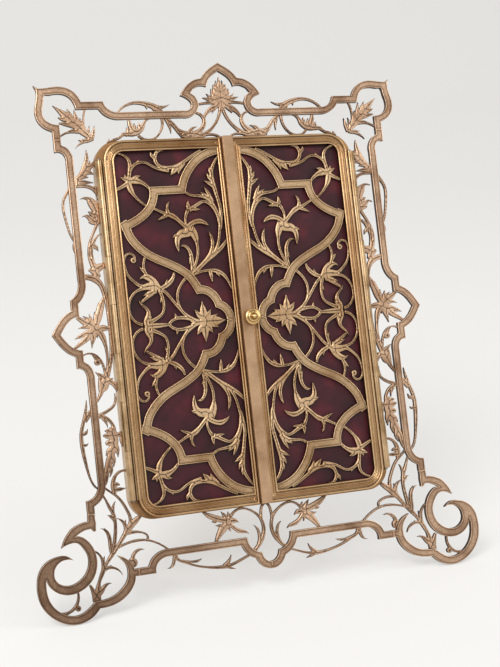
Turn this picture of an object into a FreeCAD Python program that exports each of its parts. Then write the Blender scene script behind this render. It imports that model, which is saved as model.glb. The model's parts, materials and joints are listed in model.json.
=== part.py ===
import FreeCAD, Part
import math
import os

os.makedirs("parts", exist_ok=True)
V = FreeCAD.Vector

# Photograph stand: two pierced brass doors on a shallow case, inside a cast strapwork border
# that stands on two scroll feet and leans back on a hinged strut.
# Everything is drawn flat in the stand's own face: across is X, up the face is Y and out of
# its front is Z. The last step leans the whole stand back and sets it down on its feet.

# ---- driving dimensions, in millimetres and degrees -------------------------------------
LEAN = 19.65                 # lean of the face back from upright
MIDDLE = 142.7               # height up the face of the doors' centre line
DRAWN_HALF = 70.9            # the case half-width and height that the border is drawn for
DRAWN_TALL = 194.2
DRAWN_OUTER = 62.0           # the door opening that the pierced panel is drawn for
DRAWN_SIGHT = 181.4

STRAP = 3.7                  # width of the border's strapwork
STRAP_BACK = -1.4
STRAP_FRONT = 1.2
LEAF_BACK = -1.2
LEAF_FRONT = 0.7

CASE_HALF = 70.9             # half the outside width of the case
CASE_TALL = 194.2
CASE_CORNER = 12.0
CASE_WALL = 0.9
CASE_BACK = -6.8             # back edge of the case wall; its front edge is at 0
LIP_THICK = 1.6              # ledge inside the case's front that the glass lies against
LIP_WIDE = 4.5

FIT = 0.15                   # slack of a sheet that drops into the case or a door
GLASS_THICK = 1.0
MAT_THICK = 0.5
CARD_WIDE = 108.0            # a cabinet card
CARD_TALL = 165.0
CARD_THICK = 0.5
CARD_LAP = 4.0               # how far the mat covers the card's edges
BOARD_THICK = 0.8
BACK_THICK = 0.6

DOOR_TALL = CASE_TALL - 1.6
DOOR_CORNER = 11.0
DOOR_OUTER = CASE_HALF - 3.9  # outer side of a door from the centre line
DOOR_BACK = 0.3
DOOR_FRONT = 4.0
OUTER_BEAD = 0.5             # how far the frame's outer and inner mouldings stand up
INNER_BEAD = 0.3
SIGHT_OUTER = DOOR_OUTER - 5  # the opening of a door's frame
SIGHT_INNER = 6.3
SIGHT_TALL = DOOR_TALL - 11.2
SIGHT_CORNER = 5.5
REBATE = 1.2
SHEET_THICK = 0.5            # brass sheet at the back of a door
LINING_THICK = 0.7
FRET_BACK = 2.2
FRET_STRAP = 4.2             # width of the doors' strapwork
FRET_LEAF_FRONT = 3.4
FRET_STRAP_FRONT = 3.7

STRIP_LEFT = -3.6            # the meeting strip on the right door
STRIP_RIGHT = 2.2
STRIP_FRONT = 7.2
STRIP_EDGE = 0.35            # bevel along the strip
BOSS = 4.4                   # radius of the round seat under the knob
BOSS_PROUD = 0.4
MEETING_GAP = 0.5

BARREL = 1.4                 # radius of the door hinges' barrels
PIN = 0.5
PIN_SLACK = 0.05
AXIS_IN = 1.6                # a hinge axis from the case's outer face
AXIS_FRONT = 2.4
HINGE_TALL = CASE_TALL - 21.2
KNUCKLES = 7
KNUCKLE_GAP = 0.16
LEAF_PLATE = 0.7
CASE_LEAF_BACK = -4.0

SPINDLE_AT = 1.4             # the knob's place across the face
KNOB_RIM = 4.2               # radii of the knob
KNOB_NECK = 2.6
KNOB_RING = 2.9
KNOB_NIPPLE = 1.1
SPINDLE = 1.2
SPINDLE_END = 1.7
SPINDLE_SLACK = 0.06
TONGUE_LONG = 6.8
TONGUE_WIDE = 2.8
TONGUE_THICK = 0.8
TONGUE_FRONT = -0.1

BUTTON_IN = 9.0              # a turn button's pivot from the inside of the case wall
BUTTON_TAIL = 5.0
BUTTON_WIDE = 6.0
BUTTON_THICK = 0.6
BUTTON_BITE = 0.7            # how far a turn button reaches into its slot in the case wall
BUTTON_SLACK = 0.15
SLOT_TALL = 8.6
RIVET = 1.0
RIVET_HEAD = 1.9
RIVET_PROUD = 0.4

STRUT_HINGE = 168.0          # height up the face of the strut's hinge
STRUT_OPEN = 39.6            # angle between the open strut and the stand's back
STRUT_TOP = 26.0
STRUT_FOOT = 15.0
STRUT_THICK = 1.6
STRUT_BARREL = 2.0
STRUT_PIN = 0.9
STRUT_BEHIND = 8.2           # depth of the strut's hinge axis behind the front of the case
EAR = 2.4                    # thickness and radius of the bracket's ears
BRACKET_WIDE = 42.0
BRACKET_TALL = 24.0
BRACKET_THICK = 0.8
SCREW = 0.9
SCREW_HEAD = 1.9
SCREW_PROUD = 0.5
SCREW_IN = 3.4               # a screw's centre from the bracket's edges
HOLE_SLACK = 0.03            # slack round a fixed rivet or screw
FOOT_FLAT = 0.35             # how much is filed off under the scroll feet

# ---- drawing -----------------------------------------------------------------------------


def smooth(points):
    """One edge through the points: straight for two, a curve for more."""
    if len(points) == 2:
        return Part.LineSegment(points[0], points[1]).toShape()
    curve = Part.BSplineCurve()
    curve.interpolate(points)
    return curve.toShape()


def spine_curve(points):
    """The curve through a stem's points, and its parameter at each of them."""
    lengths = [0.0]
    for before, after in zip(points, points[1:]):
        lengths.append(lengths[-1] + before.distanceToPoint(after))
    curve = Part.BSplineCurve()
    curve.interpolate(Points=points, Parameters=lengths)
    return curve, lengths


def walk(curve, lengths, steps):
    """Parameters from station to station, with the given steps in each span."""
    stops = []
    for start, end in zip(lengths, lengths[1:]):
        stops += [start + (end - start) * step / steps for step in range(steps)]
    return stops + [lengths[-1]]


def across(curve, stop):
    """The unit direction to the left of a curve."""
    ahead = curve.tangent(stop)[0]
    return V(-ahead.y, ahead.x, 0)


def closed_face(edges):
    return Part.Face(Part.Wire(Part.__sortEdges__(edges)))


def stroke(stations):
    """A tapering stem or petal through (x, y, width) stations; a width of 0 is a point."""
    points = [V(x, y, 0) for x, y, wide in stations]
    widths = [wide for x, y, wide in stations]
    curve, lengths = spine_curve(points)
    steps = 2
    left = []
    right = []
    for index, stop in enumerate(walk(curve, lengths, steps)):
        span = min(index // steps, len(widths) - 2)
        share = index / steps - span
        half = (widths[span] * (1 - share) + widths[span + 1] * share) / 2
        middle = curve.value(stop)
        side = across(curve, stop) * half
        left.append(middle + side)
        right.append(middle - side)
    edges = [smooth(left), smooth(right)]
    for end in (0, -1):
        if left[end].distanceToPoint(right[end]) > 0.001:
            edges.append(smooth([left[end], right[end]]))
    return closed_face(edges)


def strap(runs, width):
    """A band of even width along smooth runs that meet at mitred corners."""
    spines = [spine_curve([V(x, y, 0) for x, y in run]) for run in runs]
    starts = [across(curve, lengths[0]) for curve, lengths in spines]
    ends = [across(curve, lengths[-1]) for curve, lengths in spines]
    edges = []
    tips = []
    for reach in (width / 2, -width / 2):
        side = []
        for number, (curve, lengths) in enumerate(spines):
            stops = walk(curve, lengths, 2)
            if len(runs[number]) == 2:
                stops = [lengths[0], lengths[-1]]
            line = [curve.value(stop) + across(curve, stop) * reach for stop in stops]
            if number > 0:
                line[0] = mitre(curve.value(lengths[0]), ends[number - 1], starts[number], reach)
            if number < len(spines) - 1:
                line[-1] = mitre(curve.value(lengths[-1]), ends[number], starts[number + 1], reach)
            side.append(line)
        edges += [smooth(line) for line in side]
        tips.append((side[0][0], side[-1][-1]))
    for left, right in zip(*tips):
        edges.append(smooth([left, right]))
    return closed_face(edges)


def mitre(corner, before, after, reach):
    """Where the two offset sides of a corner meet."""
    middle = before + after
    middle.normalize()
    return corner + middle * (reach / middle.dot(before))


def disc(x, y, radius):
    return closed_face([Part.Circle(V(x, y, 0), V(0, 0, 1), radius).toShape()])


def prism(face, back, front):
    """The solid that stands on a flat face, from one level to another."""
    raised = face.copy()
    raised.translate(V(0, 0, back))
    return raised.extrude(V(0, 0, front - back))


def cast(figures):
    """One casting from groups of overlapping faces, each with its own back and front level."""
    solids = []
    for faces, back, front in figures:
        solids += [prism(face, back, front) for face in faces]
    return solids[0].multiFuse(solids[1:]).removeSplitter()


def border_drawing(table):
    """A table of the border's points, spread to suit the case."""
    wide = CASE_HALF / DRAWN_HALF
    tall = CASE_TALL / DRAWN_TALL
    return [[(x * wide, MIDDLE + (y - MIDDLE) * tall, *rest) for x, y, *rest in line]
            for line in table]


def fret_drawing(table):
    """A table of the pierced panel's points, spread to suit the door's opening."""
    wide = (SIGHT_OUTER - SIGHT_INNER) / (DRAWN_OUTER - SIGHT_INNER)
    tall = SIGHT_TALL / DRAWN_SIGHT
    return [[((x + SIGHT_INNER) * wide - SIGHT_INNER, MIDDLE + (y - MIDDLE) * tall, *rest)
             for x, y, *rest in line] for line in table]


def mirrored(shape):
    return shape.mirror(V(0, 0, 0), V(1, 0, 0))


def upside_down(shape):
    return shape.mirror(V(0, MIDDLE, 0), V(0, 1, 0))


# ---- border strapwork, left half ---------------------------------------------------------
# Runs of (x, y) along the middle of the band, corner to corner.

CREST_STRAP = [
    [(1, 278.4), (-3.8, 275.4), (-6.9, 272.7), (-8.7, 269.4)],
    [(-8.7, 269.4), (-12.8, 269.2), (-16.3, 267.2), (-19.4, 263.6)],
    [(-19.4, 263.6), (-16.2, 261.3), (-14.7, 258.5), (-15.3, 255.5), (-18, 253.1), (-21.5, 252.7)],
    [(-21.5, 252.7), (-56, 252.7)],
    [(-56, 252.7), (-60, 253.4), (-63, 255.3), (-65.1, 258.6)],
    [(-65.1, 258.6), (-76.6, 258.6)],
    [(-76.6, 258.6), (-77.9, 262), (-79.9, 264.5), (-82.9, 266.2), (-87, 266.8), (-91.6, 266.3),
     (-95.7, 266)],
    [(-95.7, 266), (-96.1, 261.5), (-97.2, 257), (-97.2, 254), (-95.8, 250.6), (-92.9, 248.2),
     (-89.3, 247.1)],
    [(-89.3, 247.1), (-89.3, 241)],
]
SIDE_STRAP = [
    [(-89.3, 241), (-89.3, 236.6)],
    [(-89.3, 236.6), (-86.4, 235.7), (-84.5, 233.2), (-84, 229)],
    [(-84, 229), (-84, 169)],
    [(-84, 169), (-84.2, 165), (-85.6, 161.4), (-88.8, 158.2)],
    [(-88.8, 158.2), (-88.8, 152.3)],
    [(-88.8, 152.3), (-93, 150.4), (-96.3, 147), (-99.4, 142.2)],
    [(-99.4, 142.2), (-96.3, 137.4), (-93, 134), (-88.8, 132.1)],
    [(-88.8, 132.1), (-88.8, 126.2)],
    [(-88.8, 126.2), (-86, 124.8), (-84.6, 122.4), (-84.2, 119)],
    [(-84.2, 119), (-84.2, 66)],
    [(-84.2, 66), (-85.3, 61.8), (-87.6, 58.8), (-91, 57.2)],
    [(-91, 57.2), (-91, 52)],
]
BASE_STRAP = [
    [(-70, 20.6), (-63, 20.6)],
    [(-63, 20.6), (-61.6, 24.6), (-58.6, 27), (-53.5, 28)],
    [(-53.5, 28), (-13.6, 28)],
    [(-13.6, 28), (-12.3, 24.3), (-9.8, 21.6), (-6.3, 19.9)],
    [(-6.3, 19.9), (-4.9, 16.8), (-2.7, 14.9), (0, 14.3)],
]

# ---- border foliage, left half -----------------------------------------------------------
# Each stem, petal or lobe is a stroke of (x, y, width) stations.

CREST_LEAVES = [
    # flick at the corner finial's point
    [(-94.6, 265, 2.6), (-96.8, 267.2, 1.6), (-98.7, 269.4, 0)],
    # large leaf in the corner finial, with its lobes
    [(-71.5, 240.8, 1.6), (-77, 247, 4.6), (-83, 253, 4.2), (-89.7, 259, 0)],
    [(-79.5, 249.5, 3), (-81.4, 254, 2.2), (-82.5, 257.2, 0)],
    [(-76, 246, 2.5), (-78.2, 252, 2), (-79, 256.8, 0)],
    [(-73.4, 243, 2), (-75.4, 248, 2.2), (-76.4, 252.3, 0)],
    [(-83, 251.8, 2.5), (-85.5, 252.2, 2), (-87.6, 252.9, 0)],
    [(-79.5, 248.4, 3), (-84, 249.4, 2), (-87.3, 249.9, 0.5)],
    [(-74, 243.5, 1.5), (-79.5, 245.5, 1.8), (-84, 244.8, 0.9), (-87.8, 242.8, 0.8)],
    [(-78.5, 245.1, 1.6), (-81, 245.8, 1.4), (-83, 245.8, 0)],
    [(-71.5, 240.8, 1.5), (-75, 240.4, 2), (-78.3, 240.8, 0)],
    [(-73, 240.2, 1.4), (-77.3, 239.1, 1), (-80.5, 236.2, 0)],
    [(-71.8, 240.8, 1.5), (-72.5, 245, 1.1), (-71.8, 248.4, 0)],
    [(-71.2, 240.6, 1.6), (-70.3, 244, 1.8), (-69.3, 248.2, 0)],
    [(-73.2, 257.2, 0.9), (-74.6, 252, 0.8), (-74.3, 246, 1), (-72.6, 242.3, 1)],
    # twig from the step down to the corner of the case
    [(-60.6, 251.2, 1.2), (-63.2, 246.5, 1), (-65.3, 241.5, 1.3), (-66, 236.4, 2)],
    [(-60.4, 247.8, 0), (-62.5, 245.3, 0.8), (-64.6, 242.3, 1.2)],
    [(-66, 238.5, 2), (-66.6, 242.6, 1.5), (-66.3, 246.2, 0)],
    # tendril that rises over the top band and drops through it
    [(-56.8, 254, 0.9), (-52, 258.2, 1.1), (-46.5, 259.6, 1.5), (-40, 258.5, 2.4),
     (-35.5, 256.4, 3), (-33.2, 254, 2.4), (-31.2, 250.8, 1.7), (-29.6, 247, 1.3),
     (-29.2, 242.7, 0)],
    [(-41, 258.6, 2), (-40.6, 256, 0)],
    [(-37.5, 257.2, 2.2), (-36.9, 255, 0.4)],
    [(-37, 257.7, 2), (-32, 256.9, 1.2), (-28.2, 258.4, 0)],
    [(-32, 252, 1.6), (-27.4, 247.2, 1.9), (-25, 243.6, 1.8), (-23.7, 240.2, 0)],
    # scroll under the shoulder
    [(-28, 248, 1.4), (-24, 243.7, 1.8), (-19, 242.2, 2.6), (-14, 243.3, 2.6), (-10.9, 246.6, 2),
     (-10.5, 250, 1.5), (-12.3, 252.5, 1.2), (-14.6, 253.4, 0.9)],
    [(-19.5, 243, 2), (-17.4, 244.9, 1.5), (-14.6, 245.9, 0)],
    [(-23.5, 242.2, 1.6), (-18.5, 239.9, 1.9), (-14, 240.6, 3), (-10, 242.3, 2.2),
     (-6, 245.4, 1.4), (-2.6, 250, 1.3), (-0.7, 255.4, 1.6)],
    [(-23.7, 241.6, 1.4), (-21.3, 240, 1.1), (-18.4, 239, 0)],
    [(-12.5, 240.7, 1.2), (-8.5, 241.6, 1.2), (-5, 241.2, 1.1), (-2.2, 239.4, 1)],
    # spray hanging from the top band
    [(-33.2, 251.3, 1.4), (-33.5, 246.5, 1.1), (-35.6, 242.6, 1), (-39, 240.1, 1.1),
     (-43, 239.9, 1.1), (-46.6, 242.3, 1.3)],
    [(-39.6, 251.2, 0.9), (-43, 248.7, 1.4), (-44.6, 246, 2.6), (-47, 244.2, 3.2),
     (-50, 243.4, 2.8), (-55, 242.8, 1.5), (-57, 241.3, 1.2), (-60, 240.4, 1.2),
     (-63, 237.8, 1.4), (-66, 235, 1.8)],
    [(-45.2, 245.5, 1.8), (-45.8, 247.3, 1.5), (-45.4, 249.2, 0)],
    [(-49.3, 244.5, 3), (-50.6, 248, 2.2), (-51.2, 251.3, 0.8)],
    [(-47.8, 245, 2.2), (-48.4, 248.8, 0)],
    [(-51.8, 243.9, 2.4), (-52.6, 246.7, 0)],
    [(-52.5, 243, 2), (-55.4, 243.4, 1)],
    [(-63.2, 237.4, 2), (-62.8, 239.3, 1.3), (-62.3, 241.2, 0)],
    # flower of the crest
    [(0, 254.5, 3), (0, 259, 3), (0, 266, 3.4), (0, 272.4, 0)],
    [(-0.8, 259, 2.5), (-2, 265.6, 2), (-1.6, 270.6, 0)],
    [(-1.2, 259.4, 2.2), (-3, 264.3, 1.9), (-3.3, 268.5, 0)],
    [(-1.6, 259.4, 2.2), (-4, 262.4, 1.7), (-4.8, 266.2, 0)],
    [(-1.2, 259, 2.2), (-5, 261, 1.9), (-7.6, 263.5, 0)],
    [(-1.2, 258.8, 1.8), (-6.6, 260.5, 1.8), (-10, 261.4, 0)],
    [(-0.8, 258.4, 2), (-6, 258.7, 1.5), (-13.4, 257.7, 0.9)],
    [(-0.8, 257.2, 2), (-5, 255.8, 2.8), (-8, 253.7, 1.9), (-10, 250.8, 1)],
    [(-3.4, 255.8, 1.8), (-5.6, 252.8, 0)],
]

SIDE_LEAVES = [
    # spray that winds round the upper side band
    [(-84, 187.4, 1), (-86.9, 191.8, 0.9), (-88.2, 197, 1), (-89.3, 203.5, 1.1),
     (-89, 209.7, 1.2), (-86.3, 214.4, 1.6), (-83, 218.3, 2.6), (-79.5, 221.7, 3),
     (-76, 224.6, 3.8), (-73.4, 227, 2.2), (-70, 229.6, 1.8)],
    [(-85, 189.4, 0.8), (-86.1, 186, 1.1), (-85.4, 183, 0.9), (-84.4, 181.2, 0.8)],
    [(-78, 223.4, 3), (-76, 228, 2.6), (-74.9, 232, 1.6), (-74.9, 235.8, 0)],
    [(-75.4, 225.6, 2.2), (-74.2, 228, 1.6), (-73.5, 230.2, 0)],
    [(-76, 223.9, 2.6), (-73.6, 223.6, 1.3), (-72.2, 222.8, 0)],
    [(-78.6, 221.8, 2.6), (-75, 221.4, 0)],
    [(-81.6, 219.2, 2.4), (-77, 219, 1.8), (-72.7, 218.5, 0)],
    [(-83, 217.4, 2), (-79, 217.2, 1.6), (-75, 216.4, 1.7), (-71.9, 213.6, 1.6), (-71.9, 209.4, 0)],
    [(-73.5, 215.8, 1.8), (-71.2, 215.4, 1.4)],
    # leaf against the case
    [(-80.6, 210.3, 0), (-77.6, 210.8, 1.2), (-74.8, 209.3, 2.6), (-72.8, 206, 3.6),
     (-71.8, 202, 3.8), (-71.6, 197.6, 3)],
    [(-76.4, 209.6, 1.4), (-75.2, 206.5, 1.8), (-73.2, 203.6, 2)],
    [(-70.9, 208.2, 0.8), (-71.2, 203, 1.6), (-71.2, 197.4, 1.6)],
    [(-77.1, 203.8, 0), (-75.4, 202.8, 2.2), (-73.2, 200.8, 2.6)],
    [(-80.6, 201, 0), (-77.6, 201.4, 1.6), (-75.2, 199.2, 3.2), (-72.6, 198.6, 3)],
    [(-77, 198.8, 1.2), (-74.6, 197.9, 2), (-72.4, 198.2, 2)],
    # the two stems below it and their flower
    [(-72.6, 198, 1.5), (-75.5, 192.5, 1.2), (-77.8, 187.5, 1.2), (-78.8, 182, 1.2),
     (-78.2, 177.6, 1.4), (-76.8, 174, 1.8)],
    [(-71.3, 192.4, 0), (-74, 190.5, 1.1), (-76.3, 187.2, 1.9), (-77.4, 183, 1.4),
     (-77.2, 179, 1.4), (-76.4, 175.2, 1.8)],
    [(-76.6, 186.6, 1.6), (-74.9, 185.3, 1.9), (-73.8, 183.2, 0)],
    [(-78.2, 173.2, 2.6), (-75, 174.6, 4.2), (-72, 176, 2.6), (-70.5, 176.7, 1.4)],
    [(-76.4, 173.6, 3), (-74.7, 170.2, 1.6)],
    [(-79.4, 174.4, 1.6), (-77, 172.2, 2.2), (-74.8, 169.6, 2)],
    # long stem beside the case
    [(-84, 170.4, 2.6), (-80.4, 170.3, 2.8), (-76.5, 168.7, 3.2), (-74.2, 165.8, 2.4),
     (-72.9, 161, 2), (-72, 155, 2), (-71.6, 148, 2.2), (-71.6, 140, 2.2), (-72, 134, 1.9),
     (-73, 128, 1.5), (-74.7, 121.6, 1.5), (-76, 118.4, 1.8)],
    # flower at the side
    [(-79.3, 144, 2), (-77.3, 150, 3.8), (-75.3, 155.6, 3.2), (-73.5, 160.3, 0)],
    [(-78.8, 146.4, 2), (-78.8, 149.8, 1.8), (-79.1, 152.6, 0)],
    [(-76.9, 152.6, 2), (-76.5, 157, 0)],
    [(-79.6, 144.6, 1.5), (-81, 148.6, 1.6), (-81.8, 151.7, 0)],
    [(-79.6, 144.4, 1.6), (-82.2, 148.6, 1.8), (-85.1, 150.9, 0)],
    [(-79.2, 144, 2), (-84, 147.4, 3.2), (-88.2, 150.4, 1.6)],
    [(-79.4, 144.2, 1.5), (-84.4, 145.3, 2), (-88.4, 144.5, 0)],
    [(-79.4, 144.2, 1.5), (-84, 142.4, 2.2), (-87.5, 140.7, 1.8), (-90.5, 139.5, 0)],
    [(-79.4, 144, 1.5), (-84.6, 139.2, 3), (-88.4, 136.4, 1.9), (-92.2, 134, 0.9)],
    [(-79.6, 144, 1.8), (-80.9, 139.6, 2.6), (-82.1, 134.2, 0)],
    [(-79, 144, 2), (-79, 141.2, 2.2), (-78.6, 139.2, 0)],
    [(-79, 144.4, 2), (-76.4, 140.3, 2.8), (-74.9, 134, 1.4), (-74.7, 128, 1.1),
     (-75.4, 123, 1.2), (-76.2, 118.6, 1.6)],
    [(-79, 144, 2), (-75.6, 144, 3.2), (-71.6, 143.2, 1.4)],
    # flower below it, and its tendrils
    [(-87.8, 130.2, 0.8), (-84.6, 131.8, 0.8), (-81, 130.9, 0.9), (-78.3, 127.8, 1),
     (-77, 124, 1.1), (-76.4, 119, 1.5)],
    [(-82.2, 131.3, 0.8), (-81, 129.5, 1.2), (-80, 127.8, 1.8)],
    [(-76.4, 118.2, 2.4), (-79.2, 120.2, 2), (-81.7, 122.2, 0)],
    [(-76, 118.4, 3), (-78.4, 115.6, 3.8), (-79.7, 111.8, 2.2), (-81, 109.2, 1.4),
     (-82.8, 107, 1.2)],
    [(-79.4, 119.4, 1.4), (-80.2, 115, 1.2), (-80.2, 111.6, 1)],
    [(-76.2, 117.2, 2.6), (-77.6, 113.4, 2.2), (-79.3, 111.7, 0.6)],
    [(-76, 118, 1.6), (-74, 117.9, 1.1), (-72.6, 118.4, 0)],
    [(-76.2, 117.4, 2.6), (-73.2, 115.6, 2.2), (-71.6, 113.4, 2.2), (-70.7, 111, 1.5)],
    # tendrils springing from the band towards the case
    [(-73.1, 110.8, 0), (-72.8, 108, 0.9), (-73.7, 105, 1.1), (-76.5, 102.6, 1.4),
     (-80, 101, 1.7), (-83.6, 99.6, 2.2)],
    [(-76.6, 103, 1.2), (-74, 103.9, 0)],
    [(-83.4, 99.8, 2.2), (-79, 98.9, 1.9), (-76.2, 96.2, 1.4), (-75, 92, 1.6)],
    [(-80.4, 98.6, 1.4), (-78.8, 96.6, 1.1), (-78.3, 93.8, 0)],
    # long leaf outside the lower side band
    [(-87.6, 108.8, 0), (-88, 105.4, 0.9), (-88.9, 101.8, 1.3), (-90.2, 97.6, 1.5),
     (-91.7, 92.6, 1.6), (-92, 87, 1.8), (-91.4, 80, 1.6), (-90.5, 74, 1.1), (-89.4, 69, 0.9),
     (-87.9, 65.8, 0.9), (-84.8, 63.4, 0.9)],
    [(-84.6, 104, 1.4), (-86.8, 101.6, 2.6), (-89.4, 98, 2.2)],
    [(-91.3, 91.6, 1.4), (-89.6, 92.3, 1.7), (-88.4, 94.4, 0)],
    [(-91.5, 86.6, 1.6), (-89.9, 86.3, 1.1), (-88.8, 87.3, 0)],
    # acanthus beside the case
    [(-83.6, 64.6, 0.9), (-82.2, 66.6, 1.6), (-81.2, 71, 2.5), (-79.4, 76.6, 3.2),
     (-77.2, 82, 3.6), (-75.8, 87, 4.4), (-76, 91, 4), (-76.6, 94, 1.6)],
    [(-75.4, 88.4, 3.6), (-79, 89.8, 2.8), (-80.9, 90, 0.8)],
    [(-75.6, 91, 3), (-78.4, 92.2, 2), (-79.8, 92.2, 0.6)],
    [(-76.6, 86.4, 3), (-79, 86, 2.6), (-79.9, 85.6, 1.4)],
    [(-77.3, 84, 2), (-79.3, 82, 1.5), (-80.6, 79.8, 0)],
    [(-79.3, 77.6, 2.2), (-81.6, 74.8, 0)],
    [(-75.8, 86.4, 2.6), (-74.6, 82.4, 2.2), (-74.5, 78.4, 0)],
    [(-77.4, 80.6, 2.2), (-76.9, 77, 1.9), (-77.2, 73.9, 0)],
    [(-79, 75.6, 2.2), (-78.6, 72.2, 1.5), (-79.8, 69, 0)],
    [(-76, 88.4, 2.8), (-73.4, 89.8, 2.4), (-71, 89.6, 3.2)],
    [(-71.6, 90.4, 1.4), (-71.7, 86.8, 2.2), (-72, 83.4, 0)],
    # stem down to the foot, with its curl
    [(-83.6, 65, 1), (-81.4, 62.8, 1), (-79, 60.9, 1.1), (-77.7, 59.8, 1.2), (-75.4, 57, 1.2),
     (-73, 52.4, 1.3), (-71.6, 48.4, 1.4), (-71.5, 45.4, 1.8)],
    [(-77.8, 60.4, 1.4), (-78.6, 64, 2.1), (-78, 67.4, 1.8), (-76.4, 70, 1.3), (-74, 71.4, 1.2),
     (-70.8, 71.4, 1.2)],
    [(-78.4, 64, 2.4), (-76.8, 65.2, 2.2), (-75.3, 64.6, 0.8)],
    [(-78.3, 62.6, 2.2), (-75, 62.6, 1.8), (-71.9, 62.9, 0)],
    [(-70.8, 68.2, 1.4), (-72.8, 67.8, 1.8)],
    [(-85, 61.6, 1), (-82.9, 58, 0.9), (-81.4, 54.2, 1.5), (-79.8, 50.6, 1.6), (-79.3, 46, 1.4),
     (-79.8, 41, 1.5), (-80.8, 36, 1.7), (-81.6, 31.4, 1.9)],
    [(-78.1, 57, 0), (-79.5, 54.5, 1), (-79.8, 51, 1.4)],
    [(-83.1, 50.4, 0), (-80.9, 49.5, 1.8), (-79.4, 46.8, 1.6)],
]
SIDE_BALLS = [(-80, 127, 1.6), (-73.1, 67.8, 1.4), (-71.4, 215.2, 0.9)]

FOOT_BANDS = [
    # arch from the side band out to the scroll's point
    [(-90, 46, 3), (-93, 46.8, 3.8), (-96.6, 46.2, 4), (-100.5, 44.3, 4.2),
     (-104.3, 41, 2.6), (-107.4, 37.4, 0)],
    [(-91, 52, 3.7), (-91, 47, 3.7), (-89.9, 43.6, 1.2)],
    # the inner scroll
    [(-107.4, 37.5, 0), (-103, 40, 1.8), (-98.5, 40.4, 3.6), (-94.8, 37, 4.2), (-92.8, 32.5, 4.1),
     (-92.7, 27.5, 4.3), (-95, 22, 4.6), (-99.3, 18.3, 4.6), (-105, 16.7, 4.4),
     (-110.3, 18.2, 4.3), (-113.5, 21.8, 4.2), (-114, 26.5, 4.2), (-111.5, 30.5, 3),
     (-107, 32.5, 1.9)],
    # the outer scroll, which the stand rests on
    [(-102, 30.9, 0), (-106, 32.6, 2), (-110.5, 32, 3), (-115.2, 29.6, 3.6), (-117.8, 25.5, 4.2),
     (-118.7, 20, 4.5), (-118, 13.5, 4.6), (-115.3, 8.3, 4.4), (-111.3, 4.6, 4.2),
     (-106, 2.2, 4.1), (-100.5, 2.2, 4.2), (-95.8, 4.4, 4.4), (-92.3, 7.7, 4)],
    # the lower scroll that carries the base band
    [(-93.5, 8, 3.7), (-88, 7.8, 3.8), (-82.5, 9.2, 4), (-77.5, 12.6, 4.2), (-74.2, 17.5, 4),
     (-73.8, 21.5, 3.6), (-75, 25.5, 2.6), (-77.5, 28.3, 1.6), (-80.2, 30.2, 0)],
    [(-75, 20.6, 3.4), (-70, 20.6, 3.7)],
]
FOOT_LEAVES = [
    [(-72.4, 27.2, 1.8), (-71, 30.2, 1.5), (-68.8, 31.4, 1.1), (-65.8, 31.2, 0)],
    [(-92.6, 9.4, 3.6), (-93.4, 13.6, 2.4), (-95, 17.6, 1)],
    [(-91.8, 9.4, 3), (-91.4, 13.6, 3), (-90.2, 18.6, 1.4), (-88.4, 22.3, 1.8),
     (-85.6, 27, 1.3), (-82.4, 31, 2)],
    [(-91.4, 12.4, 2.6), (-89.2, 14.6, 2.4), (-87, 16.6, 1.3), (-84, 17, 0)],
    [(-88.6, 22, 1.6), (-87.4, 26.6, 1.6), (-88.4, 31, 1), (-91.6, 34, 0.9)],
    [(-87.2, 27.6, 1.4), (-86.4, 30.8, 0)],
    [(-88.6, 22.2, 1.6), (-84.5, 24.8, 1.5), (-81.2, 23.8, 1.1), (-78.3, 20.2, 0)],
    [(-86, 24.6, 1.4), (-83.3, 25.9, 0)],
    [(-110.3, 5.6, 1.8), (-106, 6.2, 1.3), (-102.8, 8.6, 1.5), (-101.3, 12, 1.1),
     (-101.6, 16.4, 0.8)],
    # leaf cluster that reaches up to the case's corner
    [(-82, 31, 1.4), (-78.5, 35.5, 1.5), (-75.5, 39.5, 2), (-72.5, 43, 3.2), (-69, 46, 2.8),
     (-65.4, 48.8, 1.2)],
    [(-75, 40.6, 1.8), (-74.5, 44.6, 1.7), (-76, 47, 1.1), (-78.9, 48.6, 0)],
    [(-74.5, 44.2, 1.2), (-73.9, 47.2, 0)],
    [(-72.6, 42.6, 2), (-71.6, 45.8, 1.6), (-71.5, 48, 1.2)],
    [(-82.2, 30.4, 1.6), (-82.9, 36, 1.7), (-83.1, 40, 1.7), (-84.4, 43, 1.3), (-87.2, 44.4, 0)],
    [(-83.7, 41.6, 1.2), (-85, 44.5, 0)],
]
FOOT_BALLS = [(-72.6, 25.5, 2.4), (-101.9, 7.3, 1.4)]

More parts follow.
